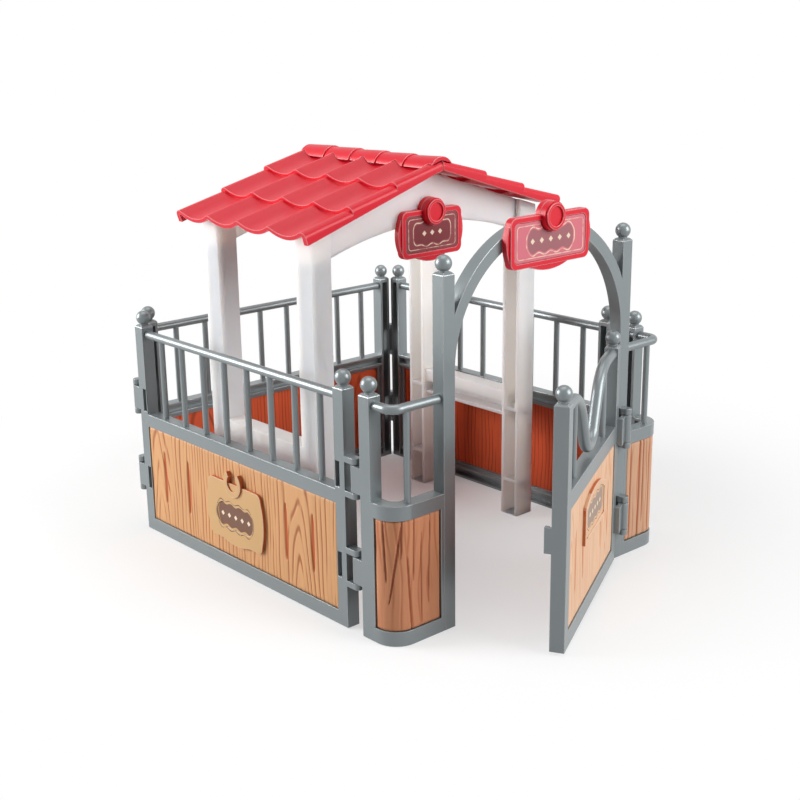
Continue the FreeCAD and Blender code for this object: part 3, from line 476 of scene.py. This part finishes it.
SCORES = {
    "fence_planks": level_scores(FENCE_LENGTH, (0.085, 0.226, 0.755, 0.886)),
    "gate_planks": level_scores(GATE_LENGTH, (0.14, 0.30, 0.70, 0.86)),
    "corner_planks": [(4.2, 33, 13, -0.05, 1.1), (8.6, 28, 17, 0.16, 1.2), (11.0, 38, 8, 0.03, 0.9),
                      (14.4, 14, 17, -0.06, 1.2), (16.6, 33, 13, 0.02, 0.9), (20.5, 20, 19, 0.0, 0.8),
                      (24.6, 27, 19, 0.03, 0.8)],
    "upright_planks": [(2.6, 22, 26, 0.0, 1.0), (8.8, 24, 30, 0.01, 1.3), (11.2, 30, 24, 0.0, 0.9),
                       (15.6, 20, 26, -0.01, 1.1), (19.6, 26, 30, 0.01, 1.2), (24.0, 23, 26, 0.0, 1.0)],
}
print("scores:", {name: len(rows) for name, rows in SCORES.items()})

# %% [markdown]
# The fine grain is a single number that grows along the board, its phase. A line shows wherever the phase
# passes a whole number. Noise makes the lines wander and breaks them off, and near the two figures the
# phase also grows up the board, which bends the lines into arches.

# %% Fine grain
FIGURE_ROUND, FIGURE_REACH, LINE_BAND = 1.5 * MM, 13 * MM, (0.26, 0.5)
WANDER_SCALE, BREAK_SCALE, BREAK_SEED = (55.0, 17.0), (310.0, 26.0), 7.0
BREAK_BAND, BREAK_LEFT = (0.36, 0.54), 0.12


def stretched_noise(tree, along, up, scale, seed):
    """Noise over the sheet, with its own scale along and up."""
    across, rise = calc(tree, "MULTIPLY", along, scale[0]), calc(tree, "MULTIPLY", up, scale[1])
    spot = add(tree, "ShaderNodeCombineXYZ", None, X=across, Y=rise, Z=seed)
    return noise(tree, spot.outputs[0], 1.0, 1.0)


def line_wave(tree, phase):
    """0.5 on a line of the grain, 0 halfway between two."""
    return calc(tree, "ABSOLUTE", calc(tree, "SUBTRACT", calc(tree, "FRACT", phase), 0.5))


def grain_fields(tree, board, along, up):
    """Phase of the grain, the strength with which each line shows, and the lines themselves."""
    step = partial(calc, tree)
    first = step("ABSOLUTE", step("SUBTRACT", along, board["First Figure"]))
    second = step("ABSOLUTE", step("SUBTRACT", along, board["Second Figure"]))
    reach = step("MINIMUM", first, second)
    arch = step("SQRT", step("MULTIPLY_ADD", reach, reach, FIGURE_ROUND ** 2))
    pull = ramp(tree, reach, FIGURE_REACH, 0.0)
    wander = stretched_noise(tree, along, up, WANDER_SCALE, board["Seed"])
    phase = step("MULTIPLY_ADD", wander, board["Wander"], step("DIVIDE", arch, board["Grain Pitch"]))
    tilt = step("MULTIPLY", step("DIVIDE", up, board["Height"]), board["Figure Rise"])
    phase = step("MULTIPLY_ADD", tilt, pull, phase)
    broken = stretched_noise(tree, along, up, BREAK_SCALE, step("ADD", board["Seed"], BREAK_SEED))
    fade = ramp(tree, broken, *BREAK_BAND, BREAK_LEFT, 1.0)
    return phase, fade, step("MULTIPLY", ramp(tree, line_wave(tree, phase), *LINE_BAND), fade)


print("figures pull the grain over", FIGURE_REACH / MM, "mm on either side")

# %% [markdown]
# The sheet is engraved flat and laid in its place afterwards. A fence board follows a straight line. A
# corner board follows a line that runs straight, turns left by a quarter circle and runs on, so one rule
# lays both: a straight board is one whose bend lies past its end.

# %% Laying the sheet
QUARTER = math.pi / 2


def laid_along(tree, board, along, up, out):
    """Place in the room of a point of the sheet, along a line that may bend left by a quarter turn."""
    step = partial(calc, tree)
    turn, start, radius = board["Turn"], board["Bend Start"], board["Bend Radius"]
    past = step("SUBTRACT", along, start)
    bend = step("MINIMUM", step("MAXIMUM", step("DIVIDE", past, radius), 0.0), QUARTER)
    lean = step("ADD", turn, bend)
    before = step("MINIMUM", along, start)
    after = step("MAXIMUM", step("MULTIPLY_ADD", radius, -QUARTER, past), 0.0)
    swing = step("ADD", radius, out)
    cos, sin = step("COSINE", turn), step("SINE", turn)
    x = step("MULTIPLY_ADD", before, cos, step("MULTIPLY", step("SINE", lean), swing))
    x = step("SUBTRACT", x, step("MULTIPLY", sin, step("ADD", radius, after)))
    y = step("SUBTRACT", step("MULTIPLY", before, sin), step("MULTIPLY", step("COSINE", lean), swing))
    y = step("MULTIPLY_ADD", cos, step("ADD", radius, after), y)
    total = add(tree, "ShaderNodeVectorMath", {"operation": "ADD"})
    feed(tree, total.inputs[0], board["Origin"])
    feed(tree, total.inputs[1], add(tree, "ShaderNodeCombineXYZ", None, X=x, Y=y, Z=up).outputs[0])
    return total.outputs[0]


print("a corner board turns by", round(math.degrees(QUARTER)), "degrees")

# %% [markdown]
# The tree puts these together. It keeps the grain's phase and the scores on the mesh under names, so that
# the paint can follow the very same lines at full sharpness. Every tree of this lesson ends in the same
# two nodes: instances become plain mesh, and the finish goes on.

# %% Sheet, kept values and the end of a tree
GEOMETRY, SHAPE = "GeometryNodeTree", "NodeSocketGeometry"


def keep_value(tree, shape, name, value):
    """Keeps a value on the points of a shape under a name that a material can read."""
    return add(tree, "GeometryNodeStoreNamedAttribute", {"data_type": "FLOAT", "domain": "POINT"},
               Geometry=shape, Name=name, Value=value).outputs[0]


def end_tree(tree, shape, finish, output):
    """Makes instances plain mesh, puts the finish on and leads the result out."""
    whole = add(tree, "GeometryNodeRealizeInstances", None, Geometry=shape).outputs[0]
    dressed = add(tree, "GeometryNodeSetMaterial", None, Geometry=whole, Material=finish).outputs[0]
    feed(tree, output, dressed)


def thick_sheet(tree, board):
    """A fine grid, thickened and closed by a back."""
    grid = add(tree, "GeometryNodeMeshGrid", None, Size_X=board["Length"], Size_Y=board["Height"],
               Vertices_X=board["Columns"], Vertices_Y=board["Rows"]).outputs["Mesh"]
    lift = add(tree, "ShaderNodeCombineXYZ", None, Z=board["Thickness"]).outputs[0]
    front = add(tree, "GeometryNodeExtrudeMesh", None, Mesh=grid, Offset=lift, Offset_Scale=1.0,
                Individual=False)
    back = add(tree, "GeometryNodeFlipFaces", None, Mesh=grid)
    both = add(tree, "GeometryNodeJoinGeometry")
    for half in (front, back):
        tree.links.new(half.outputs["Mesh"], both.inputs[0])
    weld = add(tree, "GeometryNodeMergeByDistance", None, Geometry=both.outputs[0], Distance=WELD)
    return weld.outputs[0]


print("points closer than", WELD, "m become one")

# %% Tree of an engraved board
EDGE_ROLL, ROLL_DEPTH, BACK_RELIEF = 0.7 * MM, 0.22 * MM, 0.4


def board_tree(name, scores):
    """Node tree of an engraved board; scores are (along, up, half height, lean, width), in millimetres."""
    tree, board, out = new_group(GEOMETRY, name, {
        "Length": 0.1, "Height": 0.05, "Thickness": 0.002, "Columns": 200, "Rows": 50, "Origin": Vector(),
        "Turn": 0.0, "Bend Start": 1.0, "Bend Radius": 0.01, "Grain Pitch": 0.0024, "Grain Depth": 0.00018,
        "Score Depth": 0.0005, "Wander": 3.0, "Figure Rise": 3.0, "First Figure": 0.01,
        "Second Figure": 0.08, "Seed": 0.0, "Finish": None}, {"Board": SHAPE})
    step = partial(calc, tree)
    shape = thick_sheet(tree, board)
    position = add(tree, "GeometryNodeInputPosition").outputs[0]
    spot = add(tree, "ShaderNodeSeparateXYZ", None, Vector=position).outputs
    along = step("MULTIPLY_ADD", board["Length"], 0.5, spot["X"])
    up = step("MULTIPLY_ADD", board["Height"], 0.5, spot["Y"])
    inside = step("SUBTRACT", 1.0, step("DIVIDE", spot["Z"], board["Thickness"]), clamp=True)
    phase, fade, lines = grain_fields(tree, board, along, up)
    score = 0.0
    for middle, level, half, lean, width in scores:
        one = score_mask(tree, along, up, middle * MM, level * MM, half * MM, lean, width * MM)
        score = step("MAXIMUM", one, score)
    far_along, far_up = step("SUBTRACT", board["Length"], along), step("SUBTRACT", board["Height"], up)
    edge = step("MINIMUM", step("MINIMUM", along, up), step("MINIMUM", far_along, far_up))
    sunk = step("MULTIPLY", lines, board["Grain Depth"])
    sunk = step("MULTIPLY_ADD", score, board["Score Depth"], sunk)
    sunk = step("ADD", sunk, ramp(tree, edge, EDGE_ROLL, 0.0, 0.0, ROLL_DEPTH))
    side = step("MULTIPLY_ADD", inside, 1.0 + BACK_RELIEF, -1.0)
    level = step("MULTIPLY_ADD", sunk, side, step("SUBTRACT", spot["Z"], board["Thickness"]))
    for label, value in (("phase", phase), ("fade", fade), ("score", score), ("inside", inside)):
        shape = keep_value(tree, shape, label, value)
    place = laid_along(tree, board, along, up, level)
    shape = add(tree, "GeometryNodeSetPosition", None, Geometry=shape, Position=place).outputs[0]
    shape = add(tree, "GeometryNodeSetShadeSmooth", None, Geometry=shape, Shade_Smooth=True).outputs[0]
    end_tree(tree, shape, board["Finish"], out["Board"])
    return tree


PLANK_TREES = {name: board_tree(name, scores) for name, scores in SCORES.items()}
print("nodes in each tree:", {name: len(tree.nodes) for name, tree in PLANK_TREES.items()})

# %% [markdown]
# ## Paint in the grain
#
# The wash group turns the kept values into colour: a pale board with uneven tint, fine darker lines where
# the grain's phase comes round, deep paint in the scores, and on the inside the bare reddish plastic. It
# is one group because all boards were painted in the same way. Each finish then has its own tints,
# because the gate is paler and the corners are browner than the long panels.

# %% Wash
STREAK_SCALE, TINT_SCALE = (420, 420, 22), 60.0
STREAK_SHADE, TINT_SHADE, DARKEST = 0.22, 0.14, 0.82
PAINT_BAND, PAINT_COVER, BARE_LINES, INSIDE_BAND = (0.30, 0.46), 0.85, -0.45, (0.2, 0.8)
STREAK_ROUGHNESS, WASH_ROUGHNESS = 0.14, 0.44
plank_wash, wash_in, wash_out = new_group(SHADER, "plank_wash", {
    "Coordinates": Vector(), "Phase": 0.0, "Fade": 1.0, "Score": 0.0, "Inside": 0.0,
    "Pale": (0.7, 0.5, 0.3, 1.0), "Line": (0.6, 0.3, 0.1, 1.0), "Deep": (0.5, 0.1, 0.03, 1.0),
    "Bare": (0.4, 0.1, 0.05, 1.0)}, LOOK)


def shaded(colour, value):
    return add(plank_wash, "ShaderNodeHueSaturation", None, Value=value, Color=colour).outputs[0]


on_wash = partial(calc, plank_wash)
stretch = add(plank_wash, "ShaderNodeMapping", {"vector_type": "POINT"}, Vector=wash_in["Coordinates"],
              Scale=STREAK_SCALE)
streak = noise(plank_wash, stretch.outputs[0], 1.0)
tint = noise(plank_wash, wash_in["Coordinates"], TINT_SCALE)
painted = ramp(plank_wash, line_wave(plank_wash, wash_in["Phase"]), *PAINT_BAND)
lines = on_wash("MULTIPLY", painted, wash_in["Fade"])
value = on_wash("MULTIPLY_ADD", streak, STREAK_SHADE, on_wash("MULTIPLY_ADD", tint, TINT_SHADE, DARKEST))
pale = shaded(wash_in["Pale"], value)
front = blend(plank_wash, on_wash("MULTIPLY", lines, PAINT_COVER), pale, wash_in["Line"])
front = blend(plank_wash, wash_in["Score"], front, wash_in["Deep"])
bare = shaded(wash_in["Bare"], on_wash("MULTIPLY_ADD", lines, BARE_LINES, value))
inner = ramp(plank_wash, wash_in["Inside"], *INSIDE_BAND)
feed(plank_wash, wash_out["Colour"], blend(plank_wash, inner, front, bare))
feed(plank_wash, wash_out["Roughness"], on_wash("MULTIPLY_ADD", streak, STREAK_ROUGHNESS, WASH_ROUGHNESS))
feed(plank_wash, wash_out["Height"], on_wash("SUBTRACT", streak, lines))
print("wash nodes:", len(plank_wash.nodes))

# %% Board finishes
WASH_RELIEF, WASH_STRENGTH = 0.08 * MM, 0.35
KEPT = ("phase", "fade", "score", "inside")
BARE = srgb(224, 94, 52)


def planks(name, pale, line, deep):
    """A painted board: its ground, its fine lines and its scores have a colour each."""
    finish, tree, shader, place = new_finish(name)
    kept = {word.title(): attribute(tree, word) for word in KEPT}
    wash = add(tree, "ShaderNodeGroup", {"node_tree": plank_wash}, Coordinates=place, Pale=srgb(*pale),
               Line=srgb(*line), Deep=srgb(*deep), Bare=BARE, **kept)
    dress(tree, shader, wash)
    relief(tree, shader, wash.outputs["Height"], WASH_RELIEF, WASH_STRENGTH)
    return finish


tan_planks = planks("tan_planks", (206, 154, 106), (154, 82, 38), (178, 84, 38))
pale_planks = planks("pale_gate_planks", (218, 178, 146), (206, 150, 110), (196, 110, 66))
brown_planks = planks("brown_corner_planks", (204, 138, 100), (184, 112, 74), (152, 80, 48))
right_planks = planks("tan_corner_planks", (198, 154, 124), (182, 124, 90), (170, 88, 50))
print("board finishes:", [finish.name for finish in (tan_planks, pale_planks, brown_planks, right_planks)])

# %% [markdown]
# ## Growing the boards
#
# Each board takes its length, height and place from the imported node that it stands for. A flat board is
# measured along its own direction; a corner board starts at one of its ends and bends round the corner.

# %% Measuring and growing
COLUMN, ROW, FIGURES = 0.45 * MM, 0.8 * MM, (0.05, 0.82)


def grow(name, tree, values, path=()):
    """Runs a tree with its inputs set, on a path of points if it needs one, and keeps the plain mesh."""
    piece = bpy.data.objects.new(name, bpy.data.meshes.new(name))
    piece.data.from_pydata(path, [(i, i + 1) for i in range(len(path) - 1)], [])
    scene.collection.objects.link(piece)
    shaper = piece.modifiers.new("shape", "NODES")
    shaper.node_group = tree
    for item in tree.interface.items_tree:
        if item.in_out == "INPUT" and item.name in values:
            shaper[item.identifier] = values[item.name]
    return settle(piece)


def level_ways(degrees):
    """The level direction at an angle, and the one that points out to its right."""
    turn = math.radians(degrees)
    return Vector((math.cos(turn), math.sin(turn), 0)), Vector((math.sin(turn), -math.cos(turn), 0))


def extent(points, way):
    """How far points reach along a direction, from and to."""
    reach = [point.dot(way) for point in points]
    return min(reach), max(reach)


def plank_sizes(length, low, high, origin, degrees, finish, seed):
    """Inputs of a straight board's tree."""
    height = high - low
    return {"Length": length, "Height": height, "Columns": round(length / COLUMN),
            "Rows": round(height / ROW), "Origin": (*origin, low), "Turn": math.radians(degrees),
            "Bend Start": length, "First Figure": FIGURES[0] * length, "Second Figure": FIGURES[1] * length,
            "Finish": finish, "Seed": seed}


print("a board of 100 mm has", round(100 * MM / COLUMN), "columns")

# %% Boards
CORNER_BEND, CORNER_SIDE, CORNER_FINENESS, GATE_DEGREES = 9.7 * MM, 0.6 * MM, 1.4, 28
CORNER_GRAIN = {"Thickness": 2.2 * MM, "Bend Radius": CORNER_BEND, "Grain Pitch": 3.4 * MM,
                "Grain Depth": 0.16 * MM, "Figure Rise": 0.4}


def flat_board(name, tree, degrees, finish, seed):
    """Board along one direction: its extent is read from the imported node's own points."""
    way, outward = level_ways(degrees)
    points = [v.co for v in nodes[name].data.vertices]
    (start, end), (back, face) = extent(points, way), extent(points, outward)
    low, high = extent(points, Vector((0, 0, 1)))
    corner = way * start + outward * face
    values = plank_sizes(end - start, low, high, corner[:2], degrees, finish, seed)
    values["Thickness"] = face - back
    return stand_for(grow(f"{name}_planks", PLANK_TREES[tree], values), name, finish)


def corner_board(name, tree, degrees, finish, seed):
    """Board that bends left: from the left fence it bends at once, from the gateway after its front run."""
    low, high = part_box(name)
    front_run = high[0] - low[0] - CORNER_BEND
    length = front_run + CORNER_BEND * QUARTER + CORNER_SIDE
    start, origin = (front_run, (low[0], low[1])) if degrees == 0 else (CORNER_SIDE, (low[0], high[1]))
    values = plank_sizes(length, low[2], high[2], origin, degrees, finish, seed)
    values.update(CORNER_GRAIN)
    values.update({"Bend Start": start, "Columns": round(length / COLUMN * CORNER_FINENESS)})
    return stand_for(grow(f"{name}_planks", PLANK_TREES[tree], values), name, finish)


for board in (flat_board("left_fence_board", "fence_planks", 270, tan_planks, 3.0),
              flat_board("right_fence_board", "fence_planks", 90, tan_planks, 11.0),
              flat_board("rear_fence_board", "fence_planks", 180, tan_planks, 19.0),
              flat_board("gate_board", "gate_planks", GATE_DEGREES, pale_planks, 27.0),
              corner_board("left_corner_board", "corner_planks", 270, brown_planks, 5.0),
              corner_board("right_corner_board", "upright_planks", 0, right_planks, 9.0)):
    print(board.name, len(board.data.polygons), "faces")

# %% [markdown]
# ## Printed plates
#
# The signs and plaques carry plain printed panels: a field with a scalloped edge, a thin ring round it, a
# frame line near the plate's edge and a row of lozenges. Print is flat, so it is drawn in the material: a
# group gives the distance to a rounded panel, and bands of that distance are the field, the ring and the
# frame.

# %% Distance to a rounded panel
SCALLOP_PITCH = 6.8
panel_distance, panel_in, panel_out = new_group(SHADER, "panel_distance", {
    "Across": 0.0, "Up": 0.0, "Half Width": 10.0, "Half Height": 5.0, "Corner": 2.0, "Scallop": 0.0},
    {"Distance": "NodeSocketFloat"})
on_panel = partial(calc, panel_distance)


def past_edge(way, half):
    reach = on_panel("SUBTRACT", on_panel("ABSOLUTE", panel_in[way]), panel_in[half])
    return on_panel("ADD", reach, panel_in["Corner"])


past_x, past_y = past_edge("Across", "Half Width"), past_edge("Up", "Half Height")
far_x, far_y = on_panel("MAXIMUM", past_x, 0.0), on_panel("MAXIMUM", past_y, 0.0)
round_part = on_panel("SQRT", on_panel("MULTIPLY_ADD", far_x, far_x, on_panel("MULTIPLY", far_y, far_y)))
flat_part = on_panel("MINIMUM", on_panel("MAXIMUM", past_x, past_y), 0.0)
wave = on_panel("COSINE", on_panel("MULTIPLY", panel_in["Across"], math.tau / SCALLOP_PITCH))
petals = on_panel("MULTIPLY", wave, panel_in["Scallop"])
total = on_panel("ADD", on_panel("ADD", round_part, flat_part), petals)
feed(panel_distance, panel_out["Distance"], on_panel("SUBTRACT", total, panel_in["Corner"]))
print("panel nodes:", len(panel_distance.nodes))

# %% [markdown]
# A printed finish measures from the middle of its panel, in millimetres. The ink is rubbed off a little, and
# it stands up by a hair. On the two plaques the walls of the raised and sunk forms that look sideways are
# coloured amber, so the finish also asks which way a face looks.

# %% Printed finishes
SCALLOP, FRAME_CORNER, INK_RELIEF, INK_HEIGHT = 0.5, 1.4, 0.03 * MM, 0.6
RING_BAND, FRAME_BAND, FIELD_BAND = (0.34, 0.14), (0.22, 0.08), (0.1, -0.1)
LOZENGE_BAND, LOZENGE_ROOM = (1.35, 1.05), (-2.2, -2.6)
WEAR_SCALE, WEAR_BAND, WEAR_RANGE = 420.0, (0.34, 0.58), (0.25, 0.95)
# the last two are strengths of the painted rim highlight, on the plaques and on the signs
WALL_BAND, WALL_FADE, WALL_RIM_HIGHLIGHT, PRINT_RIM_HIGHLIGHT = (0.75, 0.35), 0.4, 0.2, 0.08


def wall_mask(tree, turn, panel, start):
    """1 on faces that look sideways, outside a distance from the panel."""
    normal = add(tree, "ShaderNodeTexCoord").outputs["Normal"]
    level = add(tree, "ShaderNodeMapping", {"vector_type": "TEXTURE"}, Vector=normal, Rotation=turn)
    facing = add(tree, "ShaderNodeSeparateXYZ", None, Vector=level.outputs[0]).outputs["Y"]
    sideways = ramp(tree, calc(tree, "ABSOLUTE", facing), *WALL_BAND)
    return calc(tree, "MULTIPLY", sideways, ramp(tree, panel, start, start + WALL_FADE))


def printed(name, middle, degrees, plate, field, ink, motif_ink, half, corner, ring_out, frame_half, motif,
            roughness=0.36, side=None, side_from=0.0):
    """A finish with a panel printed round a middle point; sizes in millimetres, side colours the walls."""
    finish, tree, shader, place = new_finish(name)
    step, turn = partial(calc, tree), (0, 0, math.radians(degrees))
    local = add(tree, "ShaderNodeMapping", {"vector_type": "TEXTURE"}, Vector=place, Location=middle,
                Rotation=turn, Scale=(MM, MM, MM))
    spot = add(tree, "ShaderNodeSeparateXYZ", None, Vector=local.outputs[0]).outputs

    def distance(sizes, radius, scallop):
        return add(tree, "ShaderNodeGroup", {"node_tree": panel_distance}, Across=spot["X"], Up=spot["Z"],
                   Half_Width=sizes[0], Half_Height=sizes[1], Corner=radius, Scallop=scallop).outputs[0]

    panel = distance(half, corner, SCALLOP)
    ring = ramp(tree, step("ABSOLUTE", step("SUBTRACT", panel, ring_out)), *RING_BAND)
    border = ramp(tree, step("ABSOLUTE", distance(frame_half, FRAME_CORNER, 0.0)), *FRAME_BAND)
    pace = step("PINGPONG", step("ADD", spot["X"], motif / 2), motif / 2)
    lozenge = step("ADD", step("SUBTRACT", motif / 2, pace), step("ABSOLUTE", spot["Z"]))
    dots = step("MULTIPLY", ramp(tree, lozenge, *LOZENGE_BAND), ramp(tree, panel, *LOZENGE_ROOM))
    wear_and_highlight = ramp(tree, noise(tree, place, WEAR_SCALE), *WEAR_BAND, *WEAR_RANGE)
    base = blend(tree, ramp(tree, panel, *FIELD_BAND), plate, field)
    if side:
        base = blend(tree, wall_mask(tree, turn, panel, side_from), base, side)
    lines = step("MULTIPLY", step("MAXIMUM", ring, border), wear_and_highlight)
    inked = blend(tree, dots, blend(tree, lines, base, ink), motif_ink)
    skin = add(tree, "ShaderNodeGroup", {"node_tree": moulded_skin}, Coordinates=place, Colour=inked,
               # the skin paints a highlight on the rounded edges, stronger on the plaques than on the signs
               Rim=attribute(tree, "rim"), Rim_Light=WALL_RIM_HIGHLIGHT if side else PRINT_RIM_HIGHLIGHT, Roughness=roughness)
    dress(tree, shader, skin)
    relief(tree, shader, step("MULTIPLY_ADD", lines, INK_HEIGHT, skin.outputs["Height"]), INK_RELIEF)
    return finish


print("lozenges are", 2 * LOZENGE_BAND[0], "mm across")

# %% Signs and plaques
SIGN_EASE, PLAQUE_EASE, LABEL_LEVEL, NO_FRAME = 0.15, 0.25, 26 * MM, (60, 60)
CREAM, AMBER = srgb(236, 214, 190), srgb(196, 104, 52)


def middle_of(name):
    low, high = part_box(name)
    return (Vector(low) + Vector(high)) / 2


def set_plate(name, width, finish):
    print(stand_for(eased(name, width), name, finish).name, "printed")


label = middle_of("left_fence_plaque")
label.z = LABEL_LEVEL
arch_print = printed("arch_sign_print", middle_of("arch_sign_plate"), 0, srgb(210, 112, 124),
                     srgb(158, 98, 104), CREAM, CREAM, (13.6, 4.4), 3.6, 0.75, (19.0, 6.4), 5.2)
gable_print = printed("gable_sign_print", middle_of("gable_sign_plate"), 0, srgb(142, 62, 68),
                      srgb(122, 44, 50), CREAM, CREAM, (9.8, 4.4), 3.0, 0.75, (13.6, 6.5), 4.6)
fence_print = printed("fence_plaque_print", label, 270, srgb(200, 160, 110), srgb(112, 76, 58),
                      srgb(88, 62, 42), CREAM, (13.0, 5.1), 4.6, 1.3, NO_FRAME, 4.8, 0.46, AMBER, 2.0)
gate_print = printed("gate_plaque_print", middle_of("gate_plaque"), GATE_DEGREES, srgb(214, 172, 136),
                     srgb(150, 128, 112), srgb(120, 92, 74), CREAM, (14.2, 4.6), 2.4, 1.0, NO_FRAME, 4.6,
                     0.46, AMBER, 3.9)
set_plate("arch_sign_plate", SIGN_EASE, arch_print)
set_plate("gable_sign_plate", SIGN_EASE, gable_print)
set_plate("left_fence_plaque", PLAQUE_EASE, fence_print)
set_plate("gate_plaque", PLAQUE_EASE, gate_print)

# %% [markdown]
# ## Collars of the sign pegs
#
# Each sign hangs on a thick round peg. Between the peg's head and the board's ear the real piece has a
# plain neck. Both necks are the same turned shape, so one small node tree sets a cylinder at each peg's
# place.

# %% Peg collars
HEAD_DEPTH, EAR_SET_BACK, COLLAR_OVER, COLLAR_SIDES = 1.0 * MM, 0.75 * MM, 0.5 * MM, 64
collar_tree, collar_in, collar_out = new_group(GEOMETRY, "peg_collars", {
    "Radius": 0.004, "Depth": 0.001, "Arch Place": Vector(), "Gable Place": Vector(), "Finish": None},
    {"Collars": SHAPE})
turned = add(collar_tree, "GeometryNodeMeshCylinder", None, Vertices=COLLAR_SIDES,
             Radius=collar_in["Radius"], Depth=collar_in["Depth"]).outputs["Mesh"]
pair = add(collar_tree, "GeometryNodeJoinGeometry")
for spot in ("Arch Place", "Gable Place"):
    laid = add(collar_tree, "GeometryNodeTransform", None, Geometry=turned, Translation=collar_in[spot],
               Rotation=(QUARTER, 0, 0))
    collar_tree.links.new(laid.outputs[0], pair.inputs[0])
end_tree(collar_tree, pair.outputs[0], collar_in["Finish"], collar_out["Collars"])


def collar_reach(sign):
    """How far forward and back the neck of a sign's peg runs: from behind the head to the board's ear."""
    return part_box(f"{sign}_sign_peg")[0][1] + HEAD_DEPTH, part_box(f"{sign}_sign_board")[0][1] + EAR_SET_BACK


def collar_place(sign):
    low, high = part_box(f"{sign}_sign_peg")
    return Vector(((low[0] + high[0]) / 2, sum(collar_reach(sign)) / 2, (low[2] + high[2]) / 2))


peg_low, peg_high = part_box("arch_sign_peg")
collar_front, collar_back = collar_reach("arch")
collars = grow("sign_peg_collars", collar_tree, {
    "Radius": (peg_high[0] - peg_low[0]) / 2 + COLLAR_OVER, "Depth": collar_back - collar_front,
    "Arch Place": collar_place("arch"), "Gable Place": collar_place("gable"),
    "Finish": FINISHES["red_plastic"]})
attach(collars, "front_and_shelter")
print(collars.name, len(collars.data.polygons), "faces")

# %% [markdown]
# ## Wavy rail of the gate
#
# The gate's top rail is a round bar, a little thicker than the other rails, that runs over two humps and
# through a dip. A bar along a path is a job for Curve to Mesh. The path is worked out from the gate's own
# posts, as arcs and straight runs that touch, and the node tree carries a circle along it.

# %% Path of the wave
GATE_POST, POST_LOW, POST_HIGH = 6 * MM, 90 * MM, 101 * MM
HUMP_RADIUS, HUMP_INSET, WAVE_TOP = 20 * MM, 9.5 * MM, 96.7 * MM
DIP_RADIUS, WAVE_DIP, WAVE_ROOT, ARC_STEPS = 9 * MM, 69.4 * MM, 0.7 * MM, 16


def arc_points(centre, radius, first, last):
    turns = [first + (last - first) * i / ARC_STEPS for i in range(ARC_STEPS + 1)]
    return [centre + radius * Vector((math.cos(turn), math.sin(turn))) for turn in turns]


gate_way, gate_out = level_ways(GATE_DEGREES)
post_tops = [v.co for v in nodes["gate_frame"].data.vertices if POST_LOW < v.co.z < POST_HIGH]
(gate_start, gate_end), (gate_back, gate_face) = extent(post_tops, gate_way), extent(post_tops, gate_out)
wave_start, wave_middle = gate_start + GATE_POST, (gate_start + gate_end) / 2
wave_plane = gate_out * (gate_back + gate_face) / 2
hump = Vector((wave_start + HUMP_INSET, WAVE_TOP - HUMP_RADIUS))
dip = Vector((wave_middle, WAVE_DIP + DIP_RADIUS))
gap = dip - hump
fall = math.atan2(-gap.y, gap.x) + math.asin((HUMP_RADIUS + DIP_RADIUS) / gap.length)
half_wave = [Vector((wave_start - WAVE_ROOT, WAVE_TOP))]
half_wave += arc_points(hump, HUMP_RADIUS, QUARTER, QUARTER - fall)
half_wave += arc_points(dip, DIP_RADIUS, 3 * QUARTER - fall, 3 * QUARTER)
wave = half_wave + [Vector((2 * wave_middle - point.x, point.y)) for point in reversed(half_wave[:-1])]
wave_path = [gate_way * point.x + wave_plane + Vector((0, 0, point.y)) for point in wave]
print("wave of", len(wave_path), "points that falls by", round(math.degrees(fall), 1), "degrees")

# %% Round rail
RAIL_RADIUS, RAIL_SIDES = 2.4 * MM, 28
rail_tree, rail_in, rail_out = new_group(GEOMETRY, "round_rail", {
    "Path": "mesh", "Radius": 0.002, "Finish": None}, {"Rail": SHAPE})
spine = add(rail_tree, "GeometryNodeMeshToCurve", None, Mesh=rail_in["Path"]).outputs[0]
ring = add(rail_tree, "GeometryNodeCurvePrimitiveCircle", None, Resolution=RAIL_SIDES,
           Radius=rail_in["Radius"]).outputs[0]
bar = add(rail_tree, "GeometryNodeCurveToMesh", None, Curve=spine, Profile_Curve=ring, Fill_Caps=True)
end_tree(rail_tree, bar.outputs[0], rail_in["Finish"], rail_out["Rail"])
rail = grow("gate_wave_rail", rail_tree, {
    "Radius": RAIL_RADIUS, "Finish": FINISHES["grey_plastic"]}, wave_path)
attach(rail, "gate")
print(rail.name, len(rail.data.polygons), "faces")
